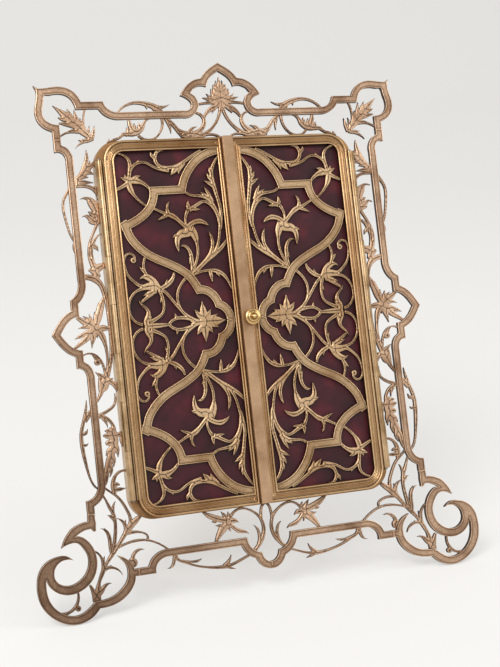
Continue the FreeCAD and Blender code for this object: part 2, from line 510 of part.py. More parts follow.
BASE_LEAVES = [
    # long stem and spiral under the case's corner
    [(-73.4, 42, 2), (-68.5, 43.9, 1.7), (-64.5, 44.1, 1.3), (-60.6, 42.6, 1.4),
     (-57.5, 40.2, 1.8), (-55.6, 37.8, 2.1), (-53, 34.7, 1.2), (-50, 32.7, 1.5),
     (-46.5, 31.7, 1.1), (-43, 31.9, 1), (-39.5, 33.8, 1.2), (-37.3, 37, 1.3), (-36.9, 41, 1.2),
     (-38.4, 43.9, 1.1), (-41.6, 45.2, 1.1), (-44.6, 44.3, 1.2), (-46.6, 41.6, 1.4),
     (-47.5, 39.4, 0)],
    [(-43.4, 41.6, 1.2), (-42.4, 46, 1)],
    [(-57, 39.5, 1.4), (-54.2, 40.4, 1.1), (-52.1, 41.2, 0)],
    [(-57, 39, 1.5), (-56.5, 36, 0)],
    [(-51.6, 33.6, 1.2), (-48, 34.1, 1), (-45.6, 36.5, 0)],
    [(-74, 40.4, 1.8), (-70, 40.5, 1.4), (-66.4, 39.8, 1), (-63.8, 38, 0.9), (-64.4, 35.2, 0.9)],
    [(-79.2, 34, 1.2), (-75, 35.3, 1.1), (-70, 36.1, 1.3), (-65, 35.8, 1.1), (-60, 34, 1),
     (-56.2, 31.6, 0.9), (-53.6, 29.4, 1)],
    [(-80.6, 32.3, 1.2), (-76.5, 32.8, 0.9), (-73.3, 31.7, 0)],
    # bud and daisy in the base
    [(-39.4, 34.2, 1.3), (-36.2, 35.9, 1.9), (-33.6, 37.9, 1.3), (-30.8, 38.6, 0)],
    [(-20.6, 38.7, 2.4), (-24, 36, 4), (-26.5, 33, 2.7), (-28.8, 29.2, 1)],
    [(-21.8, 37.4, 1.6), (-25.6, 37.6, 1.6), (-27.9, 37.9, 0)],
    [(-20.6, 38.9, 2.4), (-26, 41.2, 3.2), (-30, 43, 2.8), (-33.9, 46.2, 1)],
    [(-27, 41.2, 1.8), (-28.4, 40, 1.4), (-29.6, 40.4, 0)],
    [(-20.6, 39, 1.6), (-22.5, 42.4, 1.9), (-24.2, 44.8, 0)],
    [(-20.4, 39, 1.6), (-20.1, 42.4, 1.5), (-20.6, 44.2, 0)],
    [(-20.4, 39, 1.8), (-17.8, 39.3, 2.6), (-15.3, 37.9, 0)],
    [(-20.6, 38.6, 1.8), (-18, 35.5, 1.7), (-15.4, 33.7, 2.2), (-12.9, 33, 1.6), (-10.6, 31.6, 0)],
    [(-20.6, 38.6, 1.8), (-20.8, 36, 1.4), (-20, 34, 0)],
    # stems of the drop
    [(-20, 40, 1.5), (-17.5, 43.4, 1.1), (-14, 44.9, 1.2), (-10, 44.2, 1.1), (-6.5, 42.2, 1.1),
     (-3.8, 39.4, 1.3), (-2.4, 36, 1.4), (-2.4, 31.4, 1.7), (-4, 27.6, 1.9), (-6.5, 24.4, 1.7),
     (-9, 22, 1.8)],
    [(-14, 44.9, 1.2), (-12.6, 46.2, 1.4)],
    [(-7.7, 35.7, 0), (-5.6, 33.4, 1), (-4.9, 30, 1.3), (-5.5, 26.6, 1.3), (-7.6, 23, 1.4)],
    [(-3, 38.4, 1.3), (-2.5, 43, 1.1), (-0.8, 45.8, 1.1), (0.4, 46.2, 1.1)],
    # swag under the base band
    [(-50.2, 27.4, 2), (-49.4, 24, 1.5), (-46, 22, 1.3), (-41, 19.7, 1.1), (-35, 17.9, 1.1),
     (-29, 16.9, 1.5), (-24.5, 16.8, 1.9), (-20, 17.6, 1.2), (-15.5, 19.2, 1.1),
     (-10.6, 21, 1)],
    [(-47.4, 22.8, 1.2), (-43, 21.8, 1), (-39.5, 21.6, 1.2), (-36.9, 22.6, 0)],
    [(-25.5, 17.2, 2), (-23, 19, 1.5), (-21.2, 22.3, 0)],
    [(-24, 16.4, 1.3), (-21.6, 15.5, 0.9), (-19.4, 14.9, 0)],
    [(-50.8, 27.2, 1.6), (-51.3, 23.6, 1.5), (-52.5, 21.1, 1.1), (-55.2, 20, 0)],
]
BASE_BALLS = [(-43.6, 40.4, 2)]

# ---- fret of a door, upper half of the left door -------------------------------------------

FRET_STRAPS = [
    [[(-61.5, 194.3), (-58, 195.2), (-53.2, 197.3), (-47.9, 201), (-44.4, 205.4), (-42.9, 212.2)],
     [(-42.9, 212.2), (-27.5, 212.2)],
     [(-27.5, 212.2), (-25.2, 218.6), (-21.7, 223.8), (-17, 228.2), (-11.4, 231), (-5, 232.4)]],
    [[(-60.4, 197), (-58.8, 193), (-57.5, 189.1), (-55.2, 185.4), (-51.7, 181.6), (-46.2, 177.6),
      (-39.7, 174.4), (-33.7, 171.1), (-29.2, 167.6), (-26.2, 163.4), (-24.2, 159.4)],
     [(-24.2, 159.4), (-20, 158.7), (-16.6, 155.9), (-14.4, 151.2)],
     [(-14.4, 151.2), (-11.3, 149.3), (-9.3, 146.4), (-8.7, MIDDLE)]],
]

FRET_LEAVES = [
    # star flower
    [(-22.6, MIDDLE, 3), (-23, 148, 3.6), (-23.2, 153.6, 0)],
    [(-22.6, MIDDLE, 2.4), (-25.6, 146.6, 2.6), (-27.6, 149.3, 0)],
    [(-22.6, MIDDLE, 2.4), (-20.4, 146.4, 2.6), (-18.9, 148.9, 0)],
    [(-22.6, MIDDLE, 2), (-18.6, 144.6, 2.4), (-15.2, 146.3, 0)],
    [(-22.6, MIDDLE, 3), (-16.4, MIDDLE, 4.6), (-11.2, MIDDLE, 0)],
    [(-22.6, MIDDLE, 3), (-26.2, MIDDLE, 2.2), (-30, 144, 1.6)],
    # paired stems left of the star
    [(-41.8, MIDDLE, 1.4), (-38.4, 145.3, 1.4), (-34, 145.6, 1.8), (-29.4, 144.4, 1.8),
     (-25, 143, 1.8)],
    [(-37.6, 145.6, 1.8), (-38.4, 148.6, 0)],
    [(-26.5, 143.6, 1.4), (-31, 145.8, 1.8), (-34.4, 149.3, 1.4), (-35.9, 153.8, 1.3),
     (-35.5, 158.8, 1.3), (-33.2, 163, 1.3), (-29.6, 166.6, 1.5)],
    [(-30.6, 145.4, 1.6), (-36, 151.2, 1.4), (-39.8, 156.6, 1.4), (-42.6, 159.9, 1.5),
     (-45.4, 161.2, 2)],
    # flower beside the hinge stile
    [(-44.4, 161.6, 1.6), (-41.4, 162.8, 2.3), (-38.2, 165.2, 2), (-36.4, 169.2, 1)],
    [(-41, 163.6, 1.6), (-40.4, 166.4, 0)],
    [(-44.8, 161.4, 2.2), (-47.7, 165.4, 3.4), (-50.8, 167.9, 3), (-55, 166.6, 0)],
    [(-49.6, 166.4, 2), (-51.6, 170.2, 1.6), (-52, 174, 1.2), (-50.4, 178.6, 1)],
    [(-51.2, 169.4, 1.8), (-53, 172, 1.4), (-54.4, 173.4, 0)],
    [(-45.4, 161.4, 2.6), (-50.2, 163.5, 3), (-54, 163.3, 1.8), (-57.4, 165.6, 1.3),
     (-60.3, 169, 1.2), (-61.9, 174, 1.2), (-61.5, 178.6, 1.2), (-58.8, 180.5, 1.1),
     (-56.6, 179.4, 1.1), (-56.5, 177.4, 1.2)],
    [(-46, 161, 2.2), (-53, 162.2, 1.8), (-57.7, 160.6, 1.2), (-60.8, 157, 1.2),
     (-61.9, 152.4, 1.2), (-61.2, 148.4, 1.2), (-59.2, 145.6, 1.2), (-55.6, 143.8, 1.6)],
    [(-46.6, 160.4, 2.2), (-50.4, 159.4, 2.6), (-54, 158.4, 0)],
    [(-48.8, 159.2, 1.8), (-52.6, 157, 1.5), (-55, 155.2, 1)],
    [(-56.3, 157.4, 0), (-54.6, 153.6, 1), (-52.6, 151.4, 1.4), (-52, 149, 2.2),
     (-53.2, 146, 2.8), (-53, MIDDLE, 2.6)],
    [(-52.2, 145.4, 1.8), (-50.2, 148.2, 0)],
    [(-45, 160.4, 1.8), (-43.8, 156.6, 1.5), (-43.5, 152.6, 1.3), (-44.5, 149, 1.2),
     (-46.8, 147, 1.5), (-51.6, 144.6, 2.2)],
    [(-44, 156.6, 1.6), (-45.4, 153.8, 0)],
    [(-54.6, MIDDLE, 2.8), (-48, MIDDLE, 2.6), (-41.2, MIDDLE, 1.2)],
    # flower in the outer corner
    [(-54.6, 217.4, 2.6), (-57.6, 219.2, 1.7), (-59.5, 220.1, 0)],
    [(-54.8, 217.6, 2.2), (-56.4, 219.8, 1.5), (-56.9, 221.6, 0)],
    [(-55, 217.6, 2.8), (-51.2, 217.9, 3.3), (-48, 216.6, 1.9), (-44.6, 213.4, 1.2)],
    [(-54, 218.4, 1.8), (-50.6, 220, 1.5), (-48.3, 220.4, 0)],
    [(-55.2, 217.4, 2.8), (-54.6, 213.4, 2.8), (-53, 210.3, 1.5), (-50.2, 207, 1.1),
     (-46.4, 203.8, 1)],
    [(-55.4, 217, 2.4), (-59.2, 214.9, 1.7), (-62.3, 213.6, 1.4)],
    [(-54.8, 217.6, 1.8), (-54.4, 221.6, 1.8), (-53.7, 225.6, 1.9), (-54.3, 229.1, 1.5),
     (-56.6, 231.4, 1), (-59.6, 232.6, 1)],
    [(-53.7, 226.6, 1.6), (-54.1, 230.4, 0)],
    [(-54.2, 222.6, 1.8), (-51.8, 225.8, 1.5), (-48.8, 227.3, 1.5), (-45.3, 227.1, 1.2),
     (-41.8, 225, 1.3), (-37.6, 223.3, 1.6), (-33.4, 222.8, 2.2)],
    [(-50, 227, 1.5), (-48.6, 229, 0)],
    # scroll under the top rail
    [(-35.2, 232.4, 0), (-37.5, 233.3, 1.5), (-39.5, 231.4, 1.6), (-40.1, 228.4, 1.7),
     (-38.6, 225.4, 1.8), (-34.8, 224.1, 1.8), (-30.2, 224.4, 1.8), (-25.2, 226.6, 1.7),
     (-20.7, 229.4, 1.5), (-15, 232.4, 1.4)],
    [(-40, 229.2, 1.9), (-41.8, 231, 1.4), (-42.1, 232.9, 0)],
    [(-28.6, 224.8, 3), (-30.7, 222.2, 2.5), (-32.8, 219.9, 0)],
    [(-33.8, 223.8, 2.2), (-34.2, 221.6, 0.6)],
    [(-27, 225, 2.6), (-27.9, 222.5, 1.7), (-28.5, 220.2, 0)],
    [(-25, 226.4, 2.6), (-26.8, 224, 2), (-27.6, 222.6, 1)],
    # tall leaf beside the meeting stile
    [(-9, 190.6, 1.8), (-7.8, 196.6, 1.7), (-7.7, 201.6, 1.8), (-8.8, 207.6, 1.8),
     (-9.8, 212.6, 2.2), (-10.6, 217.6, 2.2), (-10.3, 221.6, 1.8), (-8.4, 225.8, 1.4),
     (-5.6, 229.6, 0.8)],
    [(-10.4, 219, 1.8), (-11.2, 221.6, 1.5), (-11.3, 223.8, 0)],
    [(-10.2, 215.6, 2), (-12.2, 218.2, 1.5), (-13.2, 220.8, 0)],
    [(-9.8, 212.4, 1.8), (-12.8, 215.1, 1.6), (-15.4, 216.4, 0)],
    [(-9, 193, 1.6), (-9.7, 199, 1.7), (-11.6, 203.6, 1.8), (-14.2, 207, 2),
     (-17.7, 208.4, 1.6), (-21.7, 208.8, 1.2), (-25.4, 210.6, 1.2)],
    [(-14, 207, 2.2), (-15.7, 208.9, 1.7), (-18, 210.4, 0)],
    [(-11.4, 205, 1.6), (-13.8, 210.1, 1.6), (-15.5, 213.2, 0)],
    [(-9.2, 194, 1.4), (-10.5, 199.6, 1.2), (-13, 203.4, 1.2), (-16.2, 205.4, 1.4),
     (-19.2, 204.4, 1.6), (-22, 202.8, 1.8), (-24.6, 201.6, 2.6)],
    [(-24.8, 202, 2.2), (-25.1, 204.4, 1.4), (-24.6, 206.4, 0)],
    [(-23.4, 201.8, 1.8), (-20.8, 201.5, 1.3), (-18.4, 201.4, 0)],
    [(-24.6, 202.2, 2), (-26.4, 203.4, 0)],
    [(-25.4, 201.2, 1.8), (-27, 198, 1.2), (-27.4, 194.6, 1.1), (-26.6, 191.4, 1.4)],
    # large leaf hanging inside the strapwork
    [(-27, 192, 2), (-30.7, 195.9, 1.9), (-34.6, 199, 2.6), (-37.7, 200.1, 1.7),
     (-40.7, 201.6, 1.2), (-44.2, 203.4, 1.2)],
    [(-34.2, 198.6, 1.8), (-36.2, 201.6, 1.2), (-36, 204.6, 1), (-34.3, 206.4, 0)],
    [(-36.2, 199.4, 1.8), (-39.2, 198.2, 1.4), (-42.4, 196.7, 0)],
    [(-36.4, 200.2, 1.6), (-37.4, 202.8, 0)],
    [(-27, 191.8, 2.4), (-23.2, 194.6, 2.4), (-19.7, 195.2, 2.6), (-17, 194.1, 1.6),
     (-15, 192.4, 0)],
    [(-26.8, 192.6, 2.6), (-26.8, 190, 5.2), (-29.7, 189.2, 4.4), (-32.4, 187, 3), (-33, 183, 1.8),
     (-32.6, 179.4, 0)],
    [(-31.6, 188.4, 2.2), (-33.8, 188.2, 1.3), (-35.1, 187.3, 0)],
    [(-25.2, 191.4, 4.6), (-23.2, 187.6, 3.6), (-22.5, 183.6, 1.5), (-22.5, 178.6, 1.3),
     (-23.6, 174.6, 1.3), (-25.8, 170, 1.4)],
    [(-31.6, 182.3, 0), (-29.5, 182.8, 1.2), (-27.5, 181.1, 1.5), (-26.3, 177.6, 1.9),
     (-26.1, 174, 1.8), (-26.6, 169, 1.6)],
    [(-26.4, 176.2, 1.8), (-27.8, 172.8, 0)],
    # stems towards the meeting stile
    [(-27.4, 166.6, 2), (-21.2, 172.1, 2), (-17.2, 176.1, 1.8), (-14.7, 180.1, 1.8),
     (-14, 184.1, 1.7), (-14.5, 187.1, 1.1), (-15.6, 189.6, 0)],
    [(-23.2, 170.1, 1.8), (-17.7, 174.6, 1.8), (-12.4, 179.9, 1.7), (-10.6, 184.1, 1.3),
     (-9.6, 188.6, 1.3), (-8.8, 193, 1.6)],
    [(-20, 173, 1.6), (-13.2, 177.6, 1.9), (-9, 181.1, 1.9), (-5.6, 185, 1.2)],
    [(-27, 167.6, 1.8), (-21.2, 168.9, 1.2), (-17.2, 169.2, 1.4), (-13.7, 168.6, 2.2),
     (-10.2, 166.6, 1.9), (-7.8, 163.1, 1.3), (-6, 158.6, 1)],
    [(-16.9, 168.8, 2), (-16.7, 166.1, 1.7), (-16.2, 162.4, 0)],
    [(-13.4, 167.6, 1.6), (-11.8, 165.2, 0)],
]
FRET_BALLS = [(-57, 176.9, 1.4)]


# ---- shared outlines ---------------------------------------------------------------------


def panel(x0, x1, y0, y1, left_corner, right_corner):
    """A flat panel whose left and right corners are rounded by the given radii."""
    edges = []
    places = [(x0, y0, left_corner, 1, 1), (x1, y0, right_corner, -1, 1),
              (x1, y1, right_corner, -1, -1), (x0, y1, left_corner, 1, -1)]
    stops = []
    for x, y, radius, right, up in places:
        along = V(x + right * radius, y, 0)
        upright = V(x, y + up * radius, 0)
        turned = (right > 0) == (up > 0)
        first, last = (upright, along) if turned else (along, upright)
        if radius > 0:
            middle = V(x + right * radius, y + up * radius, 0)
            knee = V(-right, -up, 0) * (radius / math.sqrt(2))
            edges.append(Part.Arc(first, middle + knee, last).toShape())
        stops.append((first, last))
    for here, after in zip(stops, stops[1:] + stops[:1]):
        edges.append(Part.LineSegment(here[1], after[0]).toShape())
    return Part.Face(Part.Wire(edges if not edges else Part.__sortEdges__(edges)))


def block(x0, x1, y0, y1, z0, z1):
    return Part.makeBox(x1 - x0, y1 - y0, z1 - z0, V(x0, y0, z0))


def post(x, y, radius, z0, z1):
    """A round bar that points out of the face."""
    return Part.makeCylinder(radius, z1 - z0, V(x, y, z0), V(0, 0, 1))


def upright_bar(x, z, radius, y0, y1):
    return Part.makeCylinder(radius, y1 - y0, V(x, y0, z), V(0, 1, 0))


def case_panel(inset):
    """The case's outline, drawn in by an inset."""
    half = CASE_HALF - inset
    tall = CASE_TALL / 2 - inset
    corner = CASE_CORNER - inset
    return panel(-half, half, MIDDLE - tall, MIDDLE + tall, corner, corner)


def door_panel(meeting, inset):
    """A left-hand door's outline up to its meeting edge, drawn in by an inset."""
    tall = DOOR_TALL / 2 - inset
    return panel(-DOOR_OUTER + inset, meeting - inset, MIDDLE - tall, MIDDLE + tall,
                 DOOR_CORNER - inset, 0)


def sight_panel(spread):
    """The opening of a left-hand door's frame, let out by a spread."""
    tall = SIGHT_TALL / 2 + spread
    return panel(-SIGHT_OUTER - spread, -SIGHT_INNER + spread, MIDDLE - tall, MIDDLE + tall,
                 SIGHT_CORNER + spread, 0)


# ---- border ------------------------------------------------------------------------------

HINGE_LOW = MIDDLE - HINGE_TALL / 2
HINGE_HIGH = MIDDLE + HINGE_TALL / 2


def border_casting(strokes, balls, straps, bands):
    """A border section, with its foliage a little thinner than its strapwork."""
    leaves = [stroke(stations) for stations in border_drawing(strokes)]
    leaves += [disc(*ball) for ball in border_drawing([balls])[0]]
    thick = [strap(border_drawing(runs), STRAP) for runs in straps]
    thick += [stroke(stations) for stations in border_drawing(bands)]
    return cast([(leaves, LEAF_BACK, LEAF_FRONT), (thick, STRAP_BACK, STRAP_FRONT)])


def case_space():
    """The room that the case and its hinge plates take from the border."""
    room = prism(case_panel(0), STRAP_BACK - 1, STRAP_FRONT + 1)
    plates = block(-CASE_HALF - LEAF_PLATE, CASE_HALF + LEAF_PLATE, HINGE_LOW, HINGE_HIGH,
                   STRAP_BACK - 1, STRAP_FRONT + 1)
    return room.fuse(plates)


def largest(shape):
    """The main solid of a casting that was trimmed."""
    return max(shape.Solids, key=lambda solid: solid.Volume)


def border():
    room = case_space()
    foot = border_casting(FOOT_LEAVES, FOOT_BALLS, [], FOOT_BANDS)
    crest = border_casting(CREST_LEAVES, [], [CREST_STRAP], [])
    side = border_casting(SIDE_LEAVES, SIDE_BALLS, [SIDE_STRAP], [])
    base = border_casting(BASE_LEAVES, BASE_BALLS, [BASE_STRAP], [])
    foot = largest(foot.cut(room))
    crest = largest(crest.cut(room))
    side = largest(side.cut(room.multiFuse([foot, crest])))
    base = largest(base.cut(room.fuse(foot)))
    return {
        "left_foot_scroll": foot,
        "right_foot_scroll": mirrored(foot),
        "border_left_side": side,
        "border_right_side": mirrored(side),
        "border_crest": crest.fuse(mirrored(crest)).removeSplitter().Solids[0],
        "border_base": base.fuse(mirrored(base)).removeSplitter().Solids[0],
    }


# ---- case and what it holds --------------------------------------------------------------

GLASS_FRONT = -LIP_THICK
MAT_FRONT = GLASS_FRONT - GLASS_THICK
CARD_FRONT = MAT_FRONT - MAT_THICK
BOARD_FRONT = CARD_FRONT - CARD_THICK
BACK_FRONT = BOARD_FRONT - BOARD_THICK
BACK_BEHIND = BACK_FRONT - BACK_THICK
BUTTON_FRONT = BACK_BEHIND - BUTTON_SLACK
BUTTON_BEHIND = BUTTON_FRONT - BUTTON_THICK
BUTTON_PIVOT = CASE_HALF - CASE_WALL - BUTTON_IN
BRACKET_BEHIND = BACK_BEHIND - BRACKET_THICK


def case_rim():
    """The wall with its front ledge, and a slot each side for the turn buttons."""
    wall = prism(case_panel(0), CASE_BACK, 0).cut(prism(case_panel(CASE_WALL), CASE_BACK, 0))
    ledge = prism(case_panel(CASE_WALL), -LIP_THICK, 0)
    ledge = ledge.cut(prism(case_panel(CASE_WALL + LIP_WIDE), -LIP_THICK, 0))
    slots = block(-CASE_HALF, CASE_HALF, MIDDLE - SLOT_TALL / 2, MIDDLE + SLOT_TALL / 2,
                  BUTTON_BEHIND - BUTTON_SLACK, BACK_BEHIND)
    return wall.fuse(ledge).removeSplitter().cut(slots)


def sheet(back, front):
    """A sheet that drops into the case."""
    return prism(case_panel(CASE_WALL + FIT), back, front)


def picture_mat():
    half = CARD_WIDE / 2 - CARD_LAP
    tall = CARD_TALL / 2 - CARD_LAP
    window = block(-half, half, MIDDLE - tall, MIDDLE + tall, CARD_FRONT, MAT_FRONT)
    return sheet(CARD_FRONT, MAT_FRONT).cut(window)


def picture_card():
    return block(-CARD_WIDE / 2, CARD_WIDE / 2, MIDDLE - CARD_TALL / 2, MIDDLE + CARD_TALL / 2,
                 BOARD_FRONT, CARD_FRONT)


def screw_places():
    x = BRACKET_WIDE / 2 - SCREW_IN
    y = BRACKET_TALL / 2 - SCREW_IN
    return [(side * x, STRUT_HINGE + up * y) for side in (-1, 1) for up in (-1, 1)]


def back_plate():
    plate = sheet(BACK_BEHIND, BACK_FRONT)
    for x, y in screw_places():
        plate = plate.cut(post(x, y, SCREW + HOLE_SLACK, BACK_BEHIND, BACK_FRONT))
    for side in (-1, 1):
        plate = plate.cut(post(side * BUTTON_PIVOT, MIDDLE, RIVET + HOLE_SLACK,
                               BACK_BEHIND, BACK_FRONT))
    return plate


def turn_button():
    """The left turn button: a bar with round ends, its tip in the case's slot."""
    half = BUTTON_WIDE / 2
    tip = -(CASE_HALF - CASE_WALL) - BUTTON_BITE
    tail = -BUTTON_PIVOT + BUTTON_TAIL
    bar = prism(panel(tip, tail, MIDDLE - half, MIDDLE + half, half * 0.999, half * 0.999),
                BUTTON_BEHIND, BUTTON_FRONT)
    hole = post(-BUTTON_PIVOT, MIDDLE, RIVET + PIN_SLACK, BUTTON_BEHIND, BUTTON_FRONT)
    return bar.cut(hole)


def button_rivet(side):
    head_top = BUTTON_BEHIND - BUTTON_SLACK
    shank = post(side * BUTTON_PIVOT, MIDDLE, RIVET, head_top, BACK_FRONT)
    head = post(side * BUTTON_PIVOT, MIDDLE, RIVET_HEAD, head_top - RIVET_PROUD, head_top)
    return shank.fuse(head).removeSplitter()


# ---- doors -------------------------------------------------------------------------------

SHEET_FRONT = DOOR_BACK + SHEET_THICK
LINING_FRONT = SHEET_FRONT + LINING_THICK
AXIS_AT = CASE_HALF - AXIS_IN
FRAME_BEAD = 1.0
SIGHT_BEAD = 0.8


def door_frame(meeting, strip_wide):
    """A left-hand door's frame, left flat for a strip of this width along its meeting edge."""
    top = DOOR_FRONT + OUTER_BEAD
    frame = prism(door_panel(meeting, 0), DOOR_BACK, DOOR_FRONT)
    outer = prism(door_panel(meeting, 0), DOOR_FRONT, top)
    outer = outer.cut(prism(door_panel(meeting, FRAME_BEAD), DOOR_FRONT, top))
    if strip_wide > 0:
        outer = outer.cut(block(meeting - strip_wide, meeting, 0, 2 * MIDDLE, DOOR_FRONT, top))
    inner = prism(sight_panel(SIGHT_BEAD), DOOR_FRONT, DOOR_FRONT + INNER_BEAD)
    frame = frame.multiFuse([outer, inner]).removeSplitter()
    frame = frame.cut(prism(sight_panel(0), DOOR_BACK, top))
    return frame.cut(prism(sight_panel(REBATE), DOOR_BACK, LINING_FRONT))


def door_fret():
    """The pierced panel of a left-hand door: one half, turned over for the other."""
    straps = [strap(fret_drawing(runs), FRET_STRAP) for runs in FRET_STRAPS]
    leaves = [stroke(stations) for stations in fret_drawing(FRET_LEAVES)]
    leaves += [disc(*ball) for ball in fret_drawing([FRET_BALLS])[0]]
    upper = cast([(leaves, FRET_BACK, FRET_LEAF_FRONT), (straps, FRET_BACK, FRET_STRAP_FRONT)])
    half_room = block(-DOOR_OUTER, 0, MIDDLE, 2 * MIDDLE, FRET_BACK - 1, FRET_STRAP_FRONT + 1)
    sight = prism(sight_panel(0), FRET_BACK - 1, FRET_STRAP_FRONT + 1)
    upper = upper.common(half_room.common(sight))
    return largest(upper.fuse(upside_down(upper)).removeSplitter())


def door_lining():
    return prism(sight_panel(REBATE - FIT), SHEET_FRONT, LINING_FRONT)


def door_sheet():
    return prism(sight_panel(REBATE - FIT), DOOR_BACK, SHEET_FRONT)


def meeting_strip():
    """The strip on the right door, with the round seat for the knob."""
    low = MIDDLE - DOOR_TALL / 2
    high = MIDDLE + DOOR_TALL / 2
    strip = block(STRIP_LEFT, STRIP_RIGHT, low, high, DOOR_FRONT, STRIP_FRONT)
    crown = [edge for edge in strip.Edges
             if edge.Length > DOOR_TALL / 2 and edge.CenterOfMass.z > STRIP_FRONT - 0.01]
    strip = strip.makeChamfer(STRIP_EDGE, crown)
    seat = post(SPINDLE_AT, MIDDLE, BOSS, DOOR_FRONT + INNER_BEAD, STRIP_FRONT + BOSS_PROUD)
    return strip.fuse(seat).removeSplitter().cut(spindle_hole())


def spindle_hole():
    return post(SPINDLE_AT, MIDDLE, SPINDLE + SPINDLE_SLACK, DOOR_BACK - 1,
                STRIP_FRONT + BOSS_PROUD + 1)


def turned(profile, x, y):
    """A solid of revolution from (radius, level) corners about an axis out of the face."""
    points = [V(x + radius, y, level) for radius, level in profile]
    wire = Part.makePolygon(points + points[:1])
    return Part.Face(wire).revolve(V(x, y, 0), V(0, 0, 1), 360)


TONGUE_BACK = TONGUE_FRONT - TONGUE_THICK
KNOB_SEAT = STRIP_FRONT + BOSS_PROUD + 0.1


def knob():
    """The turned knob in one piece with its spindle, riveted over behind the tongue."""
    end = TONGUE_BACK - HOLE_SLACK
    profile = [
        (0, end - 0.3), (SPINDLE_END, end - 0.3), (SPINDLE_END, end), (SPINDLE, end),
        (SPINDLE, KNOB_SEAT), (KNOB_NECK, KNOB_SEAT), (KNOB_NECK, KNOB_SEAT + 1.1),
        (KNOB_RIM - 0.4, KNOB_SEAT + 1.5), (KNOB_RIM, KNOB_SEAT + 2), (KNOB_RIM, KNOB_SEAT + 2.5),
        (KNOB_RIM - 0.4, KNOB_SEAT + 2.9), (KNOB_RING, KNOB_SEAT + 3.1),
        (KNOB_RING, KNOB_SEAT + 3.5), (KNOB_RING - 0.5, KNOB_SEAT + 3.9),
        (KNOB_NIPPLE + 0.4, KNOB_SEAT + 3.7), (KNOB_NIPPLE, KNOB_SEAT + 4.2),
        (KNOB_NIPPLE - 0.2, KNOB_SEAT + 5.2), (KNOB_NIPPLE - 0.7, KNOB_SEAT + 5.7),
        (0, KNOB_SEAT + 5.8),
    ]
    return turned(profile, SPINDLE_AT, MIDDLE)


def latch_tongue():
    """The tongue behind the knob, pointing down until the knob is turned to the left."""
    half = TONGUE_WIDE / 2
    tip = MIDDLE - TONGUE_LONG
    plate = prism(panel(SPINDLE_AT - half, SPINDLE_AT + half, tip, MIDDLE + half, half * 0.999,
                        half * 0.999), TONGUE_BACK, TONGUE_FRONT)
    return plate.cut(post(SPINDLE_AT, MIDDLE, SPINDLE + HOLE_SLACK, TONGUE_BACK, TONGUE_FRONT))


# ---- door hinges, left side --------------------------------------------------------------

PITCH = HINGE_TALL / KNUCKLES


def knuckles(first, web):
    """Every second barrel of a hinge with its web, bored for the pin."""
    pieces = []
    for number in range(first, KNUCKLES, 2):
        low = HINGE_LOW + number * PITCH + KNUCKLE_GAP / 2
        high = HINGE_LOW + (number + 1) * PITCH - KNUCKLE_GAP / 2
        barrel = upright_bar(-AXIS_AT, AXIS_FRONT, BARREL, low, high)
        x0, x1, z0, z1 = web
        pieces.append(barrel.fuse(block(x0, x1, low, high, z0, z1)))
    return pieces


def bored(shape):
    bore = upright_bar(-AXIS_AT, AXIS_FRONT, PIN + PIN_SLACK, HINGE_LOW - 1, HINGE_HIGH + 1)
    return shape.removeSplitter().cut(bore)


def case_leaf():
    """The hinge leaf outside the case wall, with the odd barrels."""
    outside = -CASE_HALF - LEAF_PLATE
    plate = block(outside, -CASE_HALF, HINGE_LOW, HINGE_HIGH, CASE_LEAF_BACK, AXIS_FRONT)
    web = (outside, -AXIS_AT, AXIS_FRONT, AXIS_FRONT + LEAF_PLATE)
    return bored(plate.multiFuse(knuckles(0, web)))


def door_leaf():
    """The hinge leaf on the side of the door, with the even barrels."""
    plate = block(-DOOR_OUTER - LEAF_PLATE, -DOOR_OUTER, HINGE_LOW, HINGE_HIGH, DOOR_BACK,
                  AXIS_FRONT + 0.6)
    web = (-AXIS_AT, -DOOR_OUTER - LEAF_PLATE, AXIS_FRONT - BARREL,
           AXIS_FRONT - BARREL + LEAF_PLATE)
    return bored(plate.multiFuse(knuckles(1, web)))


def hinge_pin():
    head = 0.6
    pin = upright_bar(-AXIS_AT, AXIS_FRONT, PIN, HINGE_LOW - head, HINGE_HIGH + head)
    ends = [upright_bar(-AXIS_AT, AXIS_FRONT, PIN * 2, y, y + head)
            for y in (HINGE_LOW - head, HINGE_HIGH)]
    return pin.multiFuse(ends).removeSplitter()


# ---- strut -------------------------------------------------------------------------------

AXIS = V(0, STRUT_HINGE, -STRUT_BEHIND)
EAR_INNER = STRUT_TOP / 2 + 0.2


def cross_bar(radius, x0, x1):
    return Part.makeCylinder(radius, x1 - x0, V(x0, AXIS.y, AXIS.z), V(1, 0, 0))


def strut_bracket():
    """The plate on the back with two ears that carry the strut's pin."""
    plate = prism(panel(-BRACKET_WIDE / 2, BRACKET_WIDE / 2, STRUT_HINGE - BRACKET_TALL / 2,
                        STRUT_HINGE + BRACKET_TALL / 2, 2, 2), BRACKET_BEHIND, BACK_BEHIND)
    ears = []
    for x0 in (-EAR_INNER - EAR, EAR_INNER):
        ears.append(cross_bar(EAR, x0, x0 + EAR))
        ears.append(block(x0, x0 + EAR, AXIS.y - EAR, AXIS.y + EAR, AXIS.z, BRACKET_BEHIND))
    bracket = plate.multiFuse(ears).removeSplitter()
    bracket = bracket.cut(cross_bar(STRUT_PIN + HOLE_SLACK, -BRACKET_WIDE, BRACKET_WIDE))
    for x, y in screw_places():
        bracket = bracket.cut(post(x, y, SCREW + HOLE_SLACK, BRACKET_BEHIND, BACK_BEHIND))
    return bracket


def bracket_screw(x, y):
    top = BRACKET_BEHIND
    dome = [(0, BACK_FRONT), (0, top - SCREW_PROUD), (SCREW_HEAD * 0.6, top - SCREW_PROUD),
            (SCREW_HEAD, top - SCREW_PROUD * 0.4), (SCREW_HEAD, top), (SCREW, top),
            (SCREW, BACK_FRONT)]
    return turned(dome, x, y)


